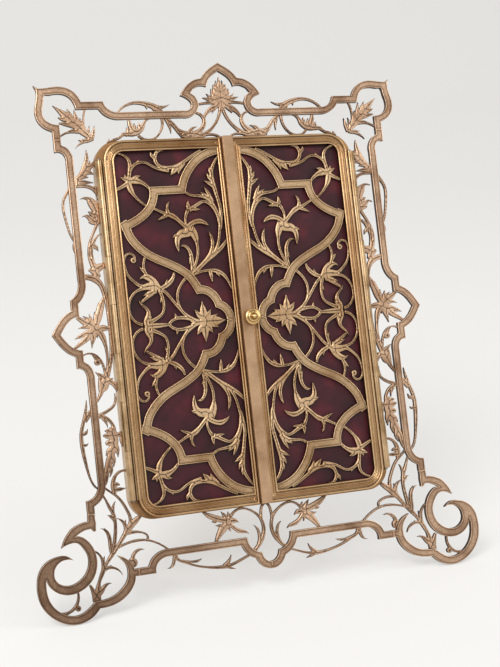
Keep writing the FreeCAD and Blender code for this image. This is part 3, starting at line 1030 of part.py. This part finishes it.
def strut_leg():
    """The tapered leg, opened until its heel meets the bracket; it is cut off at the ground."""
    half = STRUT_THICK / 2
    opened = math.radians(STRUT_OPEN)
    seat = STRUT_BEHIND + BRACKET_BEHIND - 0.05
    heel = (seat - half * math.cos(opened)) / math.sin(opened)
    reach = 190.0
    outline = Part.makePolygon([
        V(-STRUT_TOP / 2, AXIS.y + heel, 0), V(STRUT_TOP / 2, AXIS.y + heel, 0),
        V(STRUT_TOP / 2, AXIS.y - 12, 0), V(STRUT_FOOT / 2, AXIS.y - reach, 0),
        V(-STRUT_FOOT / 2, AXIS.y - reach, 0), V(-STRUT_TOP / 2, AXIS.y - 12, 0),
        V(-STRUT_TOP / 2, AXIS.y + heel, 0)])
    plate = prism(Part.Face(outline), AXIS.z - half, AXIS.z + half)
    barrel = cross_bar(STRUT_BARREL, -STRUT_TOP / 2, STRUT_TOP / 2)
    leg = plate.fuse(barrel).removeSplitter()
    leg = leg.cut(cross_bar(STRUT_PIN + PIN_SLACK, -STRUT_TOP, STRUT_TOP))
    leg.rotate(AXIS, V(1, 0, 0), STRUT_OPEN)
    return leg


def strut_pin():
    end = EAR_INNER + EAR
    pin = cross_bar(STRUT_PIN, -end, end)
    heads = [cross_bar(STRUT_PIN * 1.6, x, x + 0.6) for x in (-end - 0.6, end)]
    return pin.multiFuse(heads).removeSplitter()


# ---- the whole stand ---------------------------------------------------------------------


def build():
    nodes = border()
    nodes["case_rim"] = case_rim()
    nodes["picture_glass"] = sheet(MAT_FRONT, GLASS_FRONT)
    nodes["picture_mat"] = picture_mat()
    nodes["picture_card"] = picture_card()
    nodes["backing_board"] = sheet(BACK_FRONT, BOARD_FRONT)
    nodes["back_plate"] = back_plate()
    nodes["left_turn_button"] = turn_button()
    nodes["right_turn_button"] = mirrored(turn_button())
    nodes["button_rivets"] = Part.makeCompound([button_rivet(-1), button_rivet(1)])
    hole = spindle_hole()
    fret = door_fret()
    nodes["left_door_frame"] = door_frame(STRIP_LEFT - MEETING_GAP, 0)
    under_strip = door_frame(-STRIP_LEFT, STRIP_RIGHT - STRIP_LEFT)
    nodes["right_door_frame"] = mirrored(under_strip).cut(hole)
    for side, place in (("left", lambda shape: shape), ("right", mirrored)):
        nodes[side + "_door_fret"] = place(fret)
        nodes[side + "_door_lining"] = place(door_lining())
        nodes[side + "_door_sheet"] = place(door_sheet())
        nodes[side + "_case_leaf"] = place(case_leaf())
        nodes[side + "_door_leaf"] = place(door_leaf())
        nodes[side + "_hinge_pin"] = place(hinge_pin())
    nodes["meeting_strip"] = meeting_strip()
    nodes["knob"] = knob()
    nodes["latch_tongue"] = latch_tongue()
    nodes["strut_bracket"] = strut_bracket()
    nodes["bracket_screws"] = Part.makeCompound([bracket_screw(x, y) for x, y in screw_places()])
    nodes["strut_leg"] = strut_leg()
    nodes["strut_pin"] = strut_pin()
    return nodes


def stood_up(nodes):
    """Leans the stand back, files its feet flat, and sets it on the ground, centred."""
    for shape in nodes.values():
        shape.rotate(V(0, 0, 0), V(1, 0, 0), 90 - LEAN)
    ground = nodes["left_foot_scroll"].optimalBoundingBox().ZMin + FOOT_FLAT
    below = Part.makeBox(800, 800, 200, V(-400, -400, ground - 200))
    for name in ("left_foot_scroll", "right_foot_scroll", "strut_leg"):
        nodes[name] = largest(nodes[name].cut(below))
    boxes = [shape.optimalBoundingBox() for shape in nodes.values()]
    depth = (min(box.YMin for box in boxes) + max(box.YMax for box in boxes)) / 2
    for shape in nodes.values():
        shape.translate(V(0, -depth, -ground))
    return depth, ground


parts = build()
shift, ground_level = stood_up(parts)
for name, shape in parts.items():
    shape.exportStep("parts/" + name + ".step")
print("nodes", len(parts), "moved back by", round(-shift, 3), "and up by", round(-ground_level, 3))
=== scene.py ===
import json
import math

import bmesh
import bpy
from mathutils import Matrix, Vector, kdtree


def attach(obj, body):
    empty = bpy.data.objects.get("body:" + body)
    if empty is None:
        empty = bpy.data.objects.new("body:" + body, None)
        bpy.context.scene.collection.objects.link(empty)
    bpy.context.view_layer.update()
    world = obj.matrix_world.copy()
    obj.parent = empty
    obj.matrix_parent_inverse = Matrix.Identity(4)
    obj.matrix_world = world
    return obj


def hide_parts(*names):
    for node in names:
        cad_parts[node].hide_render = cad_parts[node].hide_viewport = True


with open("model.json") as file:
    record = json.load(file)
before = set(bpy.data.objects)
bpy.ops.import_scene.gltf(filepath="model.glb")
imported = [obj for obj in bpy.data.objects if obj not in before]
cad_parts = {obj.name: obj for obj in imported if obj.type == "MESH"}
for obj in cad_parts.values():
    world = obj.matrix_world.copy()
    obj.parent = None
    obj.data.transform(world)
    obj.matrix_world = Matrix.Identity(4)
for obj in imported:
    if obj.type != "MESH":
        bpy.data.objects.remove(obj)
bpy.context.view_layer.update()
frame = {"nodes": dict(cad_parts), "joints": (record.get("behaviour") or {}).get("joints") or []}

# ---- Border and scroll feet -------------------------------------------------------------
# The openwork round the case: cast antique brass straps and foliage, pierced, then chased by
# hand. Each strap keeps a raised rim, painted bright as a highlight, with an engraved line and a
# stippled field inside.
# The castings are soldered edge to edge, and onto the side of the case.

hinge = next(joint for joint in frame["joints"] if joint["name"] == "right_door_hinge")
lean = math.atan2(hinge["axis"][2], hinge["axis"][1])
lean_turn = Matrix.Rotation(lean, 4, "X")
hinge_on_face = Vector((0.0693, 0.1427, 0.0024))
face_origin = Vector(hinge["pos_m"]) - lean_turn @ hinge_on_face
face_to_room = Matrix.Translation(face_origin) @ lean_turn @ Matrix.Scale(0.001, 4)


def linear(hex_colour):
    """An sRGB hex colour as linear red, green, blue and alpha."""
    parts = [int(hex_colour[i:i + 2], 16) / 255 for i in (1, 3, 5)]
    return [c / 12.92 if c <= 0.04045 else ((c + 0.055) / 1.055) ** 2.4 for c in parts] + [1.0]


def add(material, kind, values=None, **settings):
    """Adds a shader node; a value that is an output socket is linked to its input."""
    tree = material.node_tree
    node = tree.nodes.new("ShaderNode" + kind)
    for name, value in settings.items():
        setattr(node, name, value)
    for name, value in (values or {}).items():
        if isinstance(value, bpy.types.NodeSocket):
            tree.links.new(value, node.inputs[name])
        else:
            node.inputs[name].default_value = value
    return node


def ramp(material, factor, stops):
    """A colour ramp from (position, hex colour) stops."""
    node = add(material, "ValToRGB", {"Fac": factor})
    elements = node.color_ramp.elements
    while len(elements) < len(stops):
        elements.new(0.5)
    for element, (position, colour) in zip(elements, stops):
        element.position = position
        element.color = linear(colour)
    return node.outputs["Color"]


def new_material(name):
    """A material with its output, and the place on the face in millimetres."""
    material = bpy.data.materials.new(name)
    material.use_nodes = True
    material.node_tree.nodes.clear()
    room = add(material, "TexCoord").outputs["Object"]
    centred = add(material, "Mapping", {"Vector": room, "Location": -face_origin})
    on_face = add(material, "Mapping", {"Vector": centred.outputs["Vector"],
                                        "Rotation": (-lean, 0, 0), "Scale": (1000, 1000, 1000)})
    return material, on_face.outputs["Vector"]


def finish(material, values):
    """The surface shader, with constant values on its own sockets."""
    shader = add(material, "BsdfPrincipled", values)
    add(material, "OutputMaterial", {"Surface": shader.outputs["BSDF"]})
    return material


def mixed(material, factor, first, second, blend="MIX"):
    """Two colours mixed; each value may be an output socket or a constant."""
    node = add(material, "Mix", data_type="RGBA", blend_type=blend)
    tree = material.node_tree
    sockets = (node.inputs[0], node.inputs[6], node.inputs[7])
    for socket, value in zip(sockets, (factor, first, second)):
        if isinstance(value, bpy.types.NodeSocket):
            tree.links.new(value, socket)
        else:
            socket.default_value = value
    return node.outputs[2]


def spread(material, value, low, high, to_low=0.0, to_high=1.0):
    """A value's range from low to high, stretched over another range."""
    return add(material, "MapRange", {"Value": value, "From Min": low, "From Max": high,
                                      "To Min": to_low, "To Max": to_high}).outputs["Result"]


def chased_brass(name, light, middle, dark, patina, lower_left_darkening):
    """Cast brass: rims painted bright as highlights, side walls painted dark as shade, dark
    engraved lines and a fine stippled field.
    """
    material, place = new_material(name)
    rim = add(material, "Attribute", attribute_name="edge").outputs["Fac"]
    band = add(material, "Attribute", attribute_name="band").outputs["Fac"]
    # across a strap: side wall painted dark as shade, rim painted bright as a highlight, engraved
    # line, field; 2 mm from wall to field
    along = spread(material, rim, -0.5, 1.5)
    strap_tone_and_painted_light = ramp(material, along, [(0.0, dark), (0.22, dark), (0.27, light), (0.44, light),
                                        (0.5, dark), (0.56, dark), (0.63, middle), (1.0, light)])
    # a leaf: side wall painted dark as shade, its rounded edge painted a darker middle tone as
    # shade, light over the rest
    leaf_tone_and_painted_shade = ramp(material, along, [(0.0, dark), (0.22, dark), (0.28, middle), (0.4, light),
                                       (1.0, light)])
    vein = add(material, "Attribute", attribute_name="vein").outputs["Fac"]
    veined = mixed(material, spread(material, vein, 0.25, 0.7, 0, 0.85), leaf_tone_and_painted_shade, linear(dark))
    ground = add(material, "TexNoise", {"Vector": place, "Scale": 2.2, "Detail": 3,
                                        "Roughness": 0.7}).outputs["Fac"]
    field = spread(material, rim, 0.8, 1.0)
    punched = add(material, "Math", {0: field, 1: spread(material, ground, 0.42, 0.62, 0, 0.45)},
                  operation="MULTIPLY").outputs["Value"]
    tone = mixed(material, band, veined, mixed(material, punched, strap_tone_and_painted_light, linear(dark)))
    # the back was left as it came from the mould, with no engraving
    rear = add(material, "Attribute", attribute_name="rear").outputs["Fac"]
    tone = mixed(material, rear, tone, linear(middle))
    # stains of 15 to 40 mm and small dark pits in the casting
    stains = add(material, "TexNoise", {"Vector": place, "Scale": 0.05, "Detail": 5,
                                        "Roughness": 0.6}).outputs["Fac"]
    stained = mixed(material, spread(material, stains, 0.42, 0.66, 0, 0.75), tone,
                    linear(patina), "MULTIPLY")
    # darker and browner towards the lower left, over 100 mm
    axes = add(material, "SeparateXYZ", {"Vector": place})
    corner = add(material, "Math", {0: axes.outputs["X"], 1: 1.6, 2: axes.outputs["Y"]},
                 operation="MULTIPLY_ADD").outputs["Value"]
    lower = mixed(material, spread(material, corner, 20, -140, 0, lower_left_darkening), stained,
                  linear("#6e5a4c"), "MULTIPLY")
    pits = add(material, "TexNoise", {"Vector": place, "Scale": 0.9, "Detail": 2}).outputs["Fac"]
    pitted = mixed(material, spread(material, pits, 0.64, 0.74, 0, 0.7), lower, linear(dark))
    # stippled ground, one punch mark every 0.35 mm
    punches = add(material, "TexVoronoi", {"Vector": place, "Scale": 2.8}).outputs["Distance"]
    grain = add(material, "TexNoise", {"Vector": place, "Scale": 2.0, "Detail": 3}).outputs["Fac"]
    relief = add(material, "Math", {0: punches, 1: grain}, operation="ADD").outputs["Value"]
    bump = add(material, "Bump", {"Height": relief, "Strength": 0.45, "Distance": 0.0001})
    gloss = spread(material, grain, 0.3, 0.7, 0.34, 0.52)
    return finish(material, {"Base Color": pitted, "Metallic": 0.85, "Roughness": gloss,
                             "Normal": bump.outputs["Normal"]})


def facing_out(bm):
    """The flat faces that look straight out of the stand's front."""
    bm.normal_update()
    return [face for face in bm.faces if face.normal.z > 0.99]


def cut_rows(bm, faces, axis, pitch):
    """Cuts flat faces along evenly spaced lines, always halving the span that is left."""
    spots = [vert.co[axis] for face in faces for vert in face.verts]
    spans = [(faces, math.floor(min(spots) / pitch), math.ceil(max(spots) / pitch))]
    normal = Vector((axis == 0, axis == 1, 0))
    while spans:
        group, first, last = spans.pop()
        if not group or last < first:
            continue
        row = (first + last) // 2
        edges = {edge for face in group for edge in face.edges}
        verts = {vert for face in group for vert in face.verts}
        cut = bmesh.ops.bisect_plane(bm, geom=list(group) + list(edges) + list(verts), dist=1e-4,
                                     plane_co=normal * (row * pitch), plane_no=normal)
        sides = ([], [])
        for part in cut["geom"]:
            if isinstance(part, bmesh.types.BMFace):
                sides[part.calc_center_median()[axis] > row * pitch].append(part)
        spans += [(sides[0], first, row - 1), (sides[1], row + 1, last)]


def chased(node, pitch, profile, band_level):
    """A copy of a casting whose front is cut fine and raised by its distance from the edge."""
    bm = bmesh.new()
    bm.from_mesh(frame["nodes"][node].data)
    bm.transform(face_to_room.inverted())
    bmesh.ops.remove_doubles(bm, verts=bm.verts, dist=1e-4)
    bmesh.ops.dissolve_limit(bm, angle_limit=math.radians(0.5), verts=bm.verts, edges=bm.edges)
    for axis in (0, 1):
        cut_rows(bm, facing_out(bm), axis, pitch)
    edge_layer = bm.verts.layers.float.new("edge")
    band_layer = bm.verts.layers.float.new("band")
    vein_layer = bm.verts.layers.float.new("vein")
    front = set(facing_out(bm))
    outline = [edge for edge in bm.edges if sum(face in front for face in edge.link_faces) == 1]
    tree = kdtree.KDTree(len(outline) * 3)
    for number, edge in enumerate(outline):
        start, end = edge.verts[0].co, edge.verts[1].co
        for third, spot in enumerate((start, end, (start + end) / 2)):
            tree.insert((spot.x, spot.y, 0), number * 3 + third)
    tree.balance()
    tops = {vert for face in front for vert in face.verts}
    # Vertices off the front get -1, which the brass materials paint dark as shade on the side
    # walls
    for vert in bm.verts:
        vert[edge_layer] = -1.0
        if vert in tops:
            away = tree.find((vert.co.x, vert.co.y, 0))[2]
            is_band = vert.co.z > band_level
            vert[edge_layer] = away
            vert[band_layer] = float(is_band)
    # a leaf's vein runs where its edges are equally far away, so the distance has a ridge there
    for vert in tops:
        around = [edge.other_vert(vert) for edge in vert.link_edges]
        inner = [other[edge_layer] for other in around if other[edge_layer] > 0]
        if vert[band_layer] < 0.5 and vert[edge_layer] > 0.3 and inner:
            ridge = vert[edge_layer] - sum(inner) / len(inner)
            vert[vein_layer] = min(max(ridge / (0.3 * pitch), 0.0), 1.0)
    for vert in tops:
        vert.co.z += profile(vert[edge_layer], vert[band_layer] > 0.5) - 0.12 * vert[vein_layer]
    rear_layer = bm.faces.layers.float.new("rear")
    for face in bm.faces:
        face.smooth = face in front
        face[rear_layer] = float(face.normal.z < -0.99)
    return bm


def put(name, bm, material, body, slot, *nodes):
    """Makes the piece in its place and lets it stand for its nodes."""
    mesh = bpy.data.meshes.new(name)
    bm.transform(face_to_room)
    bm.to_mesh(mesh)
    bm.free()
    mesh.materials.append(material)
    piece = bpy.data.objects.new(name, mesh)
    bpy.context.scene.collection.objects.link(piece)
    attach(piece, body)
    if nodes:
        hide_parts(*nodes)
    return piece


def other_hand(bm):
    """The same piece for the other side of the stand."""
    copy = bm.copy()
    copy.transform(Matrix.Scale(-1, 4, (1, 0, 0)))
    bmesh.ops.reverse_faces(copy, faces=copy.faces)
    return copy


def border_profile(away, is_band):
    """Strap: rounded rim, engraved line 0.7 mm in, sunk field. Leaf: a low dome."""
    rounding = -0.16 * math.exp(-(away / 0.22) ** 2)
    if is_band:
        line = -0.14 * math.exp(-((away - 0.72) / 0.2) ** 2)
        field = -0.1 if away > 0.9 else 0.0
        return rounding + line + field
    return rounding + 0.2 * (1 - math.exp(-away / 0.7))


# Old cast brass: pale rims painted as highlights, dark side walls painted as shade, dark lines and
# pits, and a browner lower left corner.
border_brass = chased_brass("antique_cast_brass", "#d2b092", "#a7876f", "#2c1e16", "#a18b79", 0.6)
chase_pitch = 0.4
border_strap_level = 1.0  # the straps' face stands above this, the leaves' face below it
for node in ("border_crest", "border_base"):
    put(node + "_chased", chased(node, chase_pitch, border_profile, border_strap_level),
        border_brass, "stand", "border_brass", node)
for left, right in (("border_left_side", "border_right_side"),
                    ("left_foot_scroll", "right_foot_scroll")):
    casting = chased(left, chase_pitch, border_profile, border_strap_level)
    put(right + "_chased", other_hand(casting), border_brass, "stand", "border_brass", right)
    put(left + "_chased", casting, border_brass, "stand", "border_brass", left)

# ---- Pierced panels of the doors --------------------------------------------------------
# Two cast and chased brass panels, each one half turned over to make the other. They are
# paler than the border, khaki gold with highlights painted on their rims, and sit in the door
# frames.

# The same cast brass with lighter stains and less darkening towards the lower left, for its
# warmer, more even khaki gold.
fret_brass = chased_brass("chased_door_brass", "#d0b08a", "#a88a67", "#22160f", "#bba78e", 0.2)
fret_strap_level = 3.5
fret = chased("left_door_fret", chase_pitch, border_profile, fret_strap_level)
put("right_door_fret_chased", other_hand(fret), fret_brass, "right_door", "fret_brass",
    "right_door_fret")
put("left_door_fret_chased", fret, fret_brass, "left_door", "fret_brass", "left_door_fret")

# ---- Door frames ------------------------------------------------------------------------
# Drawn brass moulding, mitred and rounded at the outer corners. Its face is reeded: thin
# beads along both edges with a hollow between, painted dark as shade, and highlights painted along
# the bead tops.


def reeded(away, is_band):
    """Rounded beads at both edges of the moulding, and a low reed along its middle."""
    rounding = -0.2 * math.exp(-(away / 0.25) ** 2)
    reed = 0.0 if is_band else 0.16 * math.cos(min(away, 1.8) * math.tau / 0.95)
    return rounding - reed


# Drawn brass: painted highlights along the tops of the beads, painted shade in brown where they
# meet, and side walls painted dark as shade.
moulding_brass, place = new_material("drawn_brass_moulding")
rim = add(moulding_brass, "Attribute", attribute_name="edge").outputs["Fac"]
# painted highlight and shade in lines along the reeds, about one a millimetre
reed_painted_highlight_and_shade = ramp(moulding_brass, spread(moulding_brass, rim, -0.5, 2.0), [
    (0.0, "#4e3726"), (0.17, "#6f5237"), (0.21, "#9c7a52"), (0.32, "#d6b58b"), (0.46, "#694c31"),
    (0.58, "#d2b085"), (0.72, "#977550"), (1.0, "#d6b58b")])
stains = add(moulding_brass, "TexNoise", {"Vector": place, "Scale": 0.04,
                                          "Detail": 5}).outputs["Fac"]
stained = mixed(moulding_brass, spread(moulding_brass, stains, 0.4, 0.7, 0, 0.7), reed_painted_highlight_and_shade,
                linear("#b4926c"), "MULTIPLY")
scratches = add(moulding_brass, "TexNoise", {"Vector": place, "Scale": 1.2,
                                             "Detail": 4}).outputs["Fac"]
bump = add(moulding_brass, "Bump", {"Height": scratches, "Strength": 0.3, "Distance": 0.0001})
gloss = spread(moulding_brass, scratches, 0.3, 0.7, 0.28, 0.44)
finish(moulding_brass, {"Base Color": stained, "Metallic": 0.9, "Roughness": gloss,
                        "Normal": bump.outputs["Normal"]})
reed_pitch = 0.3
bead_level = 4.1  # the frame's own raised beads stand above this and get no extra reed
for side in ("left", "right"):
    frame_node = side + "_door_frame"
    put(frame_node + "_reeded", chased(frame_node, reed_pitch, reeded, bead_level),
        moulding_brass, side + "_door", "door_brass", frame_node)

# ---- Silk linings -----------------------------------------------------------------------
# Wine-red silk stretched over a card behind each pierced panel. It is slightly padded, so it
# rises and falls by a fraction of a millimetre and catches the light in soft patches.

# Silk: a soft, dark, slightly uneven red with a fine ribbed sheen.
silk, place = new_material("wine_silk")
weave = add(silk, "TexWave", {"Vector": place, "Scale": 1.4, "Distortion": 0.6, "Detail": 1},
            bands_direction="X").outputs["Fac"]
cloud = add(silk, "TexNoise", {"Vector": place, "Scale": 0.06, "Detail": 3}).outputs["Fac"]
dyed = ramp(silk, cloud, [(0.3, "#24060b"), (0.55, "#380b15"), (0.75, "#54161f")])
bump = add(silk, "Bump", {"Height": weave, "Strength": 0.12, "Distance": 0.00006})
finish(silk, {"Base Color": dyed, "Roughness": 0.4, "Sheen Weight": 0.05, "Sheen Roughness": 0.4,
              "Specular IOR Level": 0.35, "Normal": bump.outputs["Normal"]})


def padding(away, x, y):
    """Soft swells a few centimetres long that die away at the edge of the card."""
    swell = math.sin(x * 0.21 + 1.3 * math.sin(y * 0.07)) + math.sin(y * 0.13 + x * 0.05)
    return (0.22 + 0.13 * swell) * min(away / 6, 1)


lining_pitch = 1.5
for side in ("left", "right"):
    node = side + "_door_lining"
    bm = bmesh.new()
    bm.from_mesh(frame["nodes"][node].data)
    bm.transform(face_to_room.inverted())
    bmesh.ops.remove_doubles(bm, verts=bm.verts, dist=1e-4)
    for axis in (0, 1):
        cut_rows(bm, facing_out(bm), axis, lining_pitch)
    low_x, high_x = min(v.co.x for v in bm.verts), max(v.co.x for v in bm.verts)
    low_y, high_y = min(v.co.y for v in bm.verts), max(v.co.y for v in bm.verts)
    front = facing_out(bm)
    for vert in {vert for face in front for vert in face.verts}:
        x, y = vert.co.x, vert.co.y
        away = min(x - low_x, high_x - x, y - low_y, high_y - y)
        vert.co.z += padding(max(away, 0), x, y)
    for face in front:
        face.smooth = True
    lining = put(node + "_silk", bm, silk, side + "_door", "lining_silk", node)

# ---- Plain brass work -------------------------------------------------------------------
# The case wall, door backs, hinges, meeting strip, strut and small fittings are rolled, drawn
# or stamped brass with a plain toned surface, soldered, riveted or screwed in place.


def plain_brass(name, colour, shade, gloss, stretch):
    """Toned brass, with faint lines from rolling or drawing that run along the stretch."""
    material, place = new_material(name)
    drawn = add(material, "Mapping", {"Vector": place, "Scale": stretch})
    lines = add(material, "TexNoise", {"Vector": drawn.outputs["Vector"], "Scale": 1.0,
                                       "Detail": 4}).outputs["Fac"]
    stains = add(material, "TexNoise", {"Vector": place, "Scale": 0.07, "Detail": 6,
                                        "Roughness": 0.6}).outputs["Fac"]
    toned = mixed(material, spread(material, stains, 0.38, 0.68), linear(colour), linear(shade))
    lined = mixed(material, spread(material, lines, 0.35, 0.7, 0, 0.35), toned, linear(shade))
    bump = add(material, "Bump", {"Height": lines, "Strength": 0.25, "Distance": 0.00006})
    return finish(material, {"Base Color": lined, "Metallic": 0.9,
                             "Roughness": spread(material, lines, 0.3, 0.7, gloss, gloss + 0.12),
                             "Normal": bump.outputs["Normal"]})


def dress(material, *nodes):
    """Gives CAD nodes of the right shape their finish."""
    for node in nodes:
        for slot in frame["nodes"][node].material_slots:
            slot.material = material


# Rolled strip round the case: the darkest and dullest, with faint lines along it.
case_brass = plain_brass("rolled_case_brass", "#b98e62", "#83603f", 0.36, (0.2, 0.2, 2))
# Rolled sheet, seldom handled: cloudy yellow brown.
sheet_brass = plain_brass("rolled_sheet_brass", "#b8945f", "#8c6c43", 0.34, (0.25, 2.2, 1))
# Hinge barrels, rubbed by use: the brightest of these and the glossiest.
hinge_brass = plain_brass("rubbed_hinge_brass", "#d6b78f", "#957651", 0.26, (2, 0.15, 2))
# The meeting strip: pinkish tan, with drawing lines down its whole length.
strip_brass = plain_brass("drawn_strip_brass", "#cfab88", "#a98767", 0.34, (2.5, 0.05, 2.5))
# Stamped fittings: plain yellow brass with no direction to its marks.
fitting_brass = plain_brass("stamped_brass", "#c9a06a", "#94703f", 0.3, (1, 1, 1))
# The strut: brushed along its length.
strut_brass = plain_brass("brushed_strut_brass", "#b8925f", "#8a6a44", 0.34, (2.5, 0.1, 0.1))
dress(case_brass, "case_rim")
dress(sheet_brass, "back_plate", "left_door_sheet", "right_door_sheet")
dress(hinge_brass, "left_case_leaf", "right_case_leaf", "left_door_leaf", "right_door_leaf")
dress(strip_brass, "meeting_strip")
dress(fitting_brass, "left_turn_button", "right_turn_button", "button_rivets", "bracket_screws",
      "latch_tongue")
dress(strut_brass, "strut_bracket", "strut_leg")

# ---- Hinge and strut pins ---------------------------------------------------------------
# Plain drawn steel wire, headed over at both ends, grey with a little brown in the hollows.

# Steel: the one cool grey on the stand.
steel, place = new_material("drawn_steel_wire")
rust = add(steel, "TexNoise", {"Vector": place, "Scale": 0.8, "Detail": 4}).outputs["Fac"]
greys = ramp(steel, rust, [(0.35, "#8c8880"), (0.6, "#77726a"), (0.75, "#6a5546")])
finish(steel, {"Base Color": greys, "Metallic": 0.95, "Roughness": 0.4})
dress(steel, "left_hinge_pin", "right_hinge_pin", "strut_pin")

# ---- Knob -------------------------------------------------------------------------------
# Turned from brass rod in one piece with its spindle: a domed rim, a ring and a small nipple.
# It is the brightest brass on the stand, brighter on its edges and darker in its two hollows.

knob_across, knob_up = 1.4, 142.7  # the spindle's place on the face
knob_foot = -1.2
knob_seat = 7.7
knob_profile = [(0, knob_foot), (1.2, knob_foot), (1.2, knob_seat), (2.6, knob_seat), (2.5, 8.3),
                (2.7, 8.9), (3.6, 9.15), (4.1, 9.5), (4.2, 9.95), (4.0, 10.4), (3.5, 10.7),
                (3.0, 10.72), (2.8, 10.9), (2.85, 11.15), (2.6, 11.4), (2.1, 11.5), (1.5, 11.35),
                (1.25, 11.6), (1.2, 12.3), (1.0, 12.9), (0.6, 13.3), (0, 13.45)]
# Polished brass: bright yellow on its edges and brown in its hollows, following the mesh's
# curvature.
knob_brass, place = new_material("polished_knob_brass")
hollows = add(knob_brass, "NewGeometry").outputs["Pointiness"]
curvature_tone = ramp(knob_brass, hollows, [(0.44, "#6b4a26"), (0.5, "#c49a60"), (0.56, "#e4c48e")])
turning = add(knob_brass, "TexNoise", {"Vector": place, "Scale": 0.9, "Detail": 4}).outputs["Fac"]
finish(knob_brass, {"Base Color": curvature_tone, "Metallic": 1.0,
                    "Roughness": spread(knob_brass, turning, 0.3, 0.7, 0.16, 0.3)})
bm = bmesh.new()
points = [bm.verts.new((knob_across + radius, knob_up, level)) for radius, level in knob_profile]
outline = [bm.edges.new(pair) for pair in zip(points, points[1:])]
bmesh.ops.spin(bm, geom=points + outline, cent=(knob_across, knob_up, 0), axis=(0, 0, 1),
               angle=math.tau, steps=48, use_merge=True)
bmesh.ops.remove_doubles(bm, verts=bm.verts, dist=1e-3)
bmesh.ops.recalc_face_normals(bm, faces=bm.faces)
for face in bm.faces:
    face.smooth = True
put("knob_turned", bm, knob_brass, "knob", "knob_brass", "knob")

# ---- Picture, glass, mat and boards -----------------------------------------------------
# Behind the doors: clear glass, a cream mat with a cut window, an albumen print on card that
# shows a plain landscape of hills and trees, and a grey backing board.

# Old sheet glass: clear, with the faintest green.
glass, _ = new_material("clear_picture_glass")
finish(glass, {"Base Color": linear("#f2f7f5"), "Roughness": 0.02, "IOR": 1.5,
               "Transmission Weight": 1.0})
dress(glass, "picture_glass")

# Mat board: warm white and quite dull, with a trace of paper fibre.
mat_card, place = new_material("cream_mat_board")
fibre = add(mat_card, "TexNoise", {"Vector": place, "Scale": 1.5, "Detail": 6}).outputs["Fac"]
cream = ramp(mat_card, fibre, [(0.3, "#e6dcc4"), (0.7, "#f2ead6")])
bump = add(mat_card, "Bump", {"Height": fibre, "Strength": 0.2, "Distance": 0.0001})
finish(mat_card, {"Base Color": cream, "Roughness": 0.85, "Normal": bump.outputs["Normal"]})
dress(mat_card, "picture_mat")

# Pulp board: dull mottled grey.
board, place = new_material("grey_backing_board")
fibre = add(board, "TexNoise", {"Vector": place, "Scale": 0.8, "Detail": 6}).outputs["Fac"]
pulp = ramp(board, fibre, [(0.3, "#8f8778"), (0.7, "#a89f8d")])
finish(board, {"Base Color": pulp, "Roughness": 0.9})
dress(board, "backing_board")

# Albumen print: brown tones under a slight gloss, dark hills below a pale sky.
print_card, place = new_material("albumen_print")
axes = add(print_card, "SeparateXYZ", {"Vector": place})
ridge = add(print_card, "TexNoise", {"Vector": place, "Scale": 0.03, "Detail": 6}).outputs["Fac"]
ground = add(print_card, "Math", {0: ridge, 1: 70.0, 2: axes.outputs["Y"]},
             operation="MULTIPLY_ADD").outputs["Value"]
land = ramp(print_card, spread(print_card, ground, 110, 260), [
    (0.0, "#4a3826"), (0.3, "#6a533a"), (0.42, "#3e2f20"), (0.48, "#8a7355"), (0.56, "#b59d7b"),
    (0.6, "#d9c6a4"), (1.0, "#e6d8bb")])
leafage = add(print_card, "TexNoise", {"Vector": place, "Scale": 0.35, "Detail": 8}).outputs["Fac"]
below = add(print_card, "Math", {0: spread(print_card, leafage, 0.35, 0.7, 0, 0.45),
                                 1: spread(print_card, ground, 180, 198, 1, 0)},
            operation="MULTIPLY").outputs["Value"]
shaded = mixed(print_card, below, land, linear("#8a7050"), "MULTIPLY")
finish(print_card, {"Base Color": shaded, "Roughness": 0.32})
dress(print_card, "picture_card")

# ---- Floor, light and camera ------------------------------------------------------------
# A pale seamless paper sweep, one large soft light high on the left, a weaker one on the
# right and a bright room all round.

bm = bmesh.new()
half_width = 3
rise = ((-3, 0), (1.2, 0), (1.8, 0.08), (2.2, 0.35), (2.4, 0.9), (2.4, 3))
corner = [bm.verts.new((-half_width, y, z)) for y, z in rise]
run = [bm.edges.new(pair) for pair in zip(corner, corner[1:])]
bmesh.ops.extrude_edge_only(bm, edges=run)
for vert in [vert for vert in bm.verts if vert not in corner]:
    vert.co.x = half_width
bmesh.ops.recalc_face_normals(bm, faces=bm.faces)
for face in bm.faces:
    face.smooth = True
sweep_mesh = bpy.data.meshes.new("paper_sweep")
bm.to_mesh(sweep_mesh)
bm.free()
# Matt white paper, lit evenly by lamps of its own, which keep the shadows on it faint.
paper, _ = new_material("white_paper")
finish(paper, {"Base Color": linear("#a3a2a0"), "Roughness": 0.9,
               "Emission Color": linear("#f4f3f1"), "Emission Strength": 0.5})
sweep_mesh.materials.append(paper)
sweep = bpy.data.objects.new("paper_sweep", sweep_mesh)
bpy.context.scene.collection.objects.link(sweep)

world = bpy.data.worlds.new("bright_room")
world.use_nodes = True
room_light = world.node_tree.nodes["Background"].inputs
room_light["Color"].default_value = linear("#f4f2ef")
room_light["Strength"].default_value = 0.76
bpy.context.scene.world = world
bpy.context.scene.view_settings.view_transform = "Standard"

aim = Vector((0.0050, -0.0062, 0.1247))
for name, place, size, power in (("left_softbox", (-0.9, -0.9, 1.3), 0.9, 24),
                                 ("right_softbox", (1.2, -0.5, 0.8), 0.8, 6)):
    lamp = bpy.data.lights.new(name, "AREA")
    lamp.size = size
    lamp.energy = power
    light = bpy.data.objects.new(name, lamp)
    light.location = place
    light.rotation_euler = (aim - Vector(place)).to_track_quat("-Z", "Y").to_euler()
    bpy.context.scene.collection.objects.link(light)

view = bpy.data.cameras.new("camera")
view.lens = 64.8
view.sensor_width = 36
camera = bpy.data.objects.new("camera", view)
camera.location = (-0.1965, -0.5909, 0.2894)
camera.rotation_euler = (aim - camera.location).to_track_quat("-Z", "Y").to_euler()
bpy.context.scene.collection.objects.link(camera)
bpy.context.scene.camera = camera
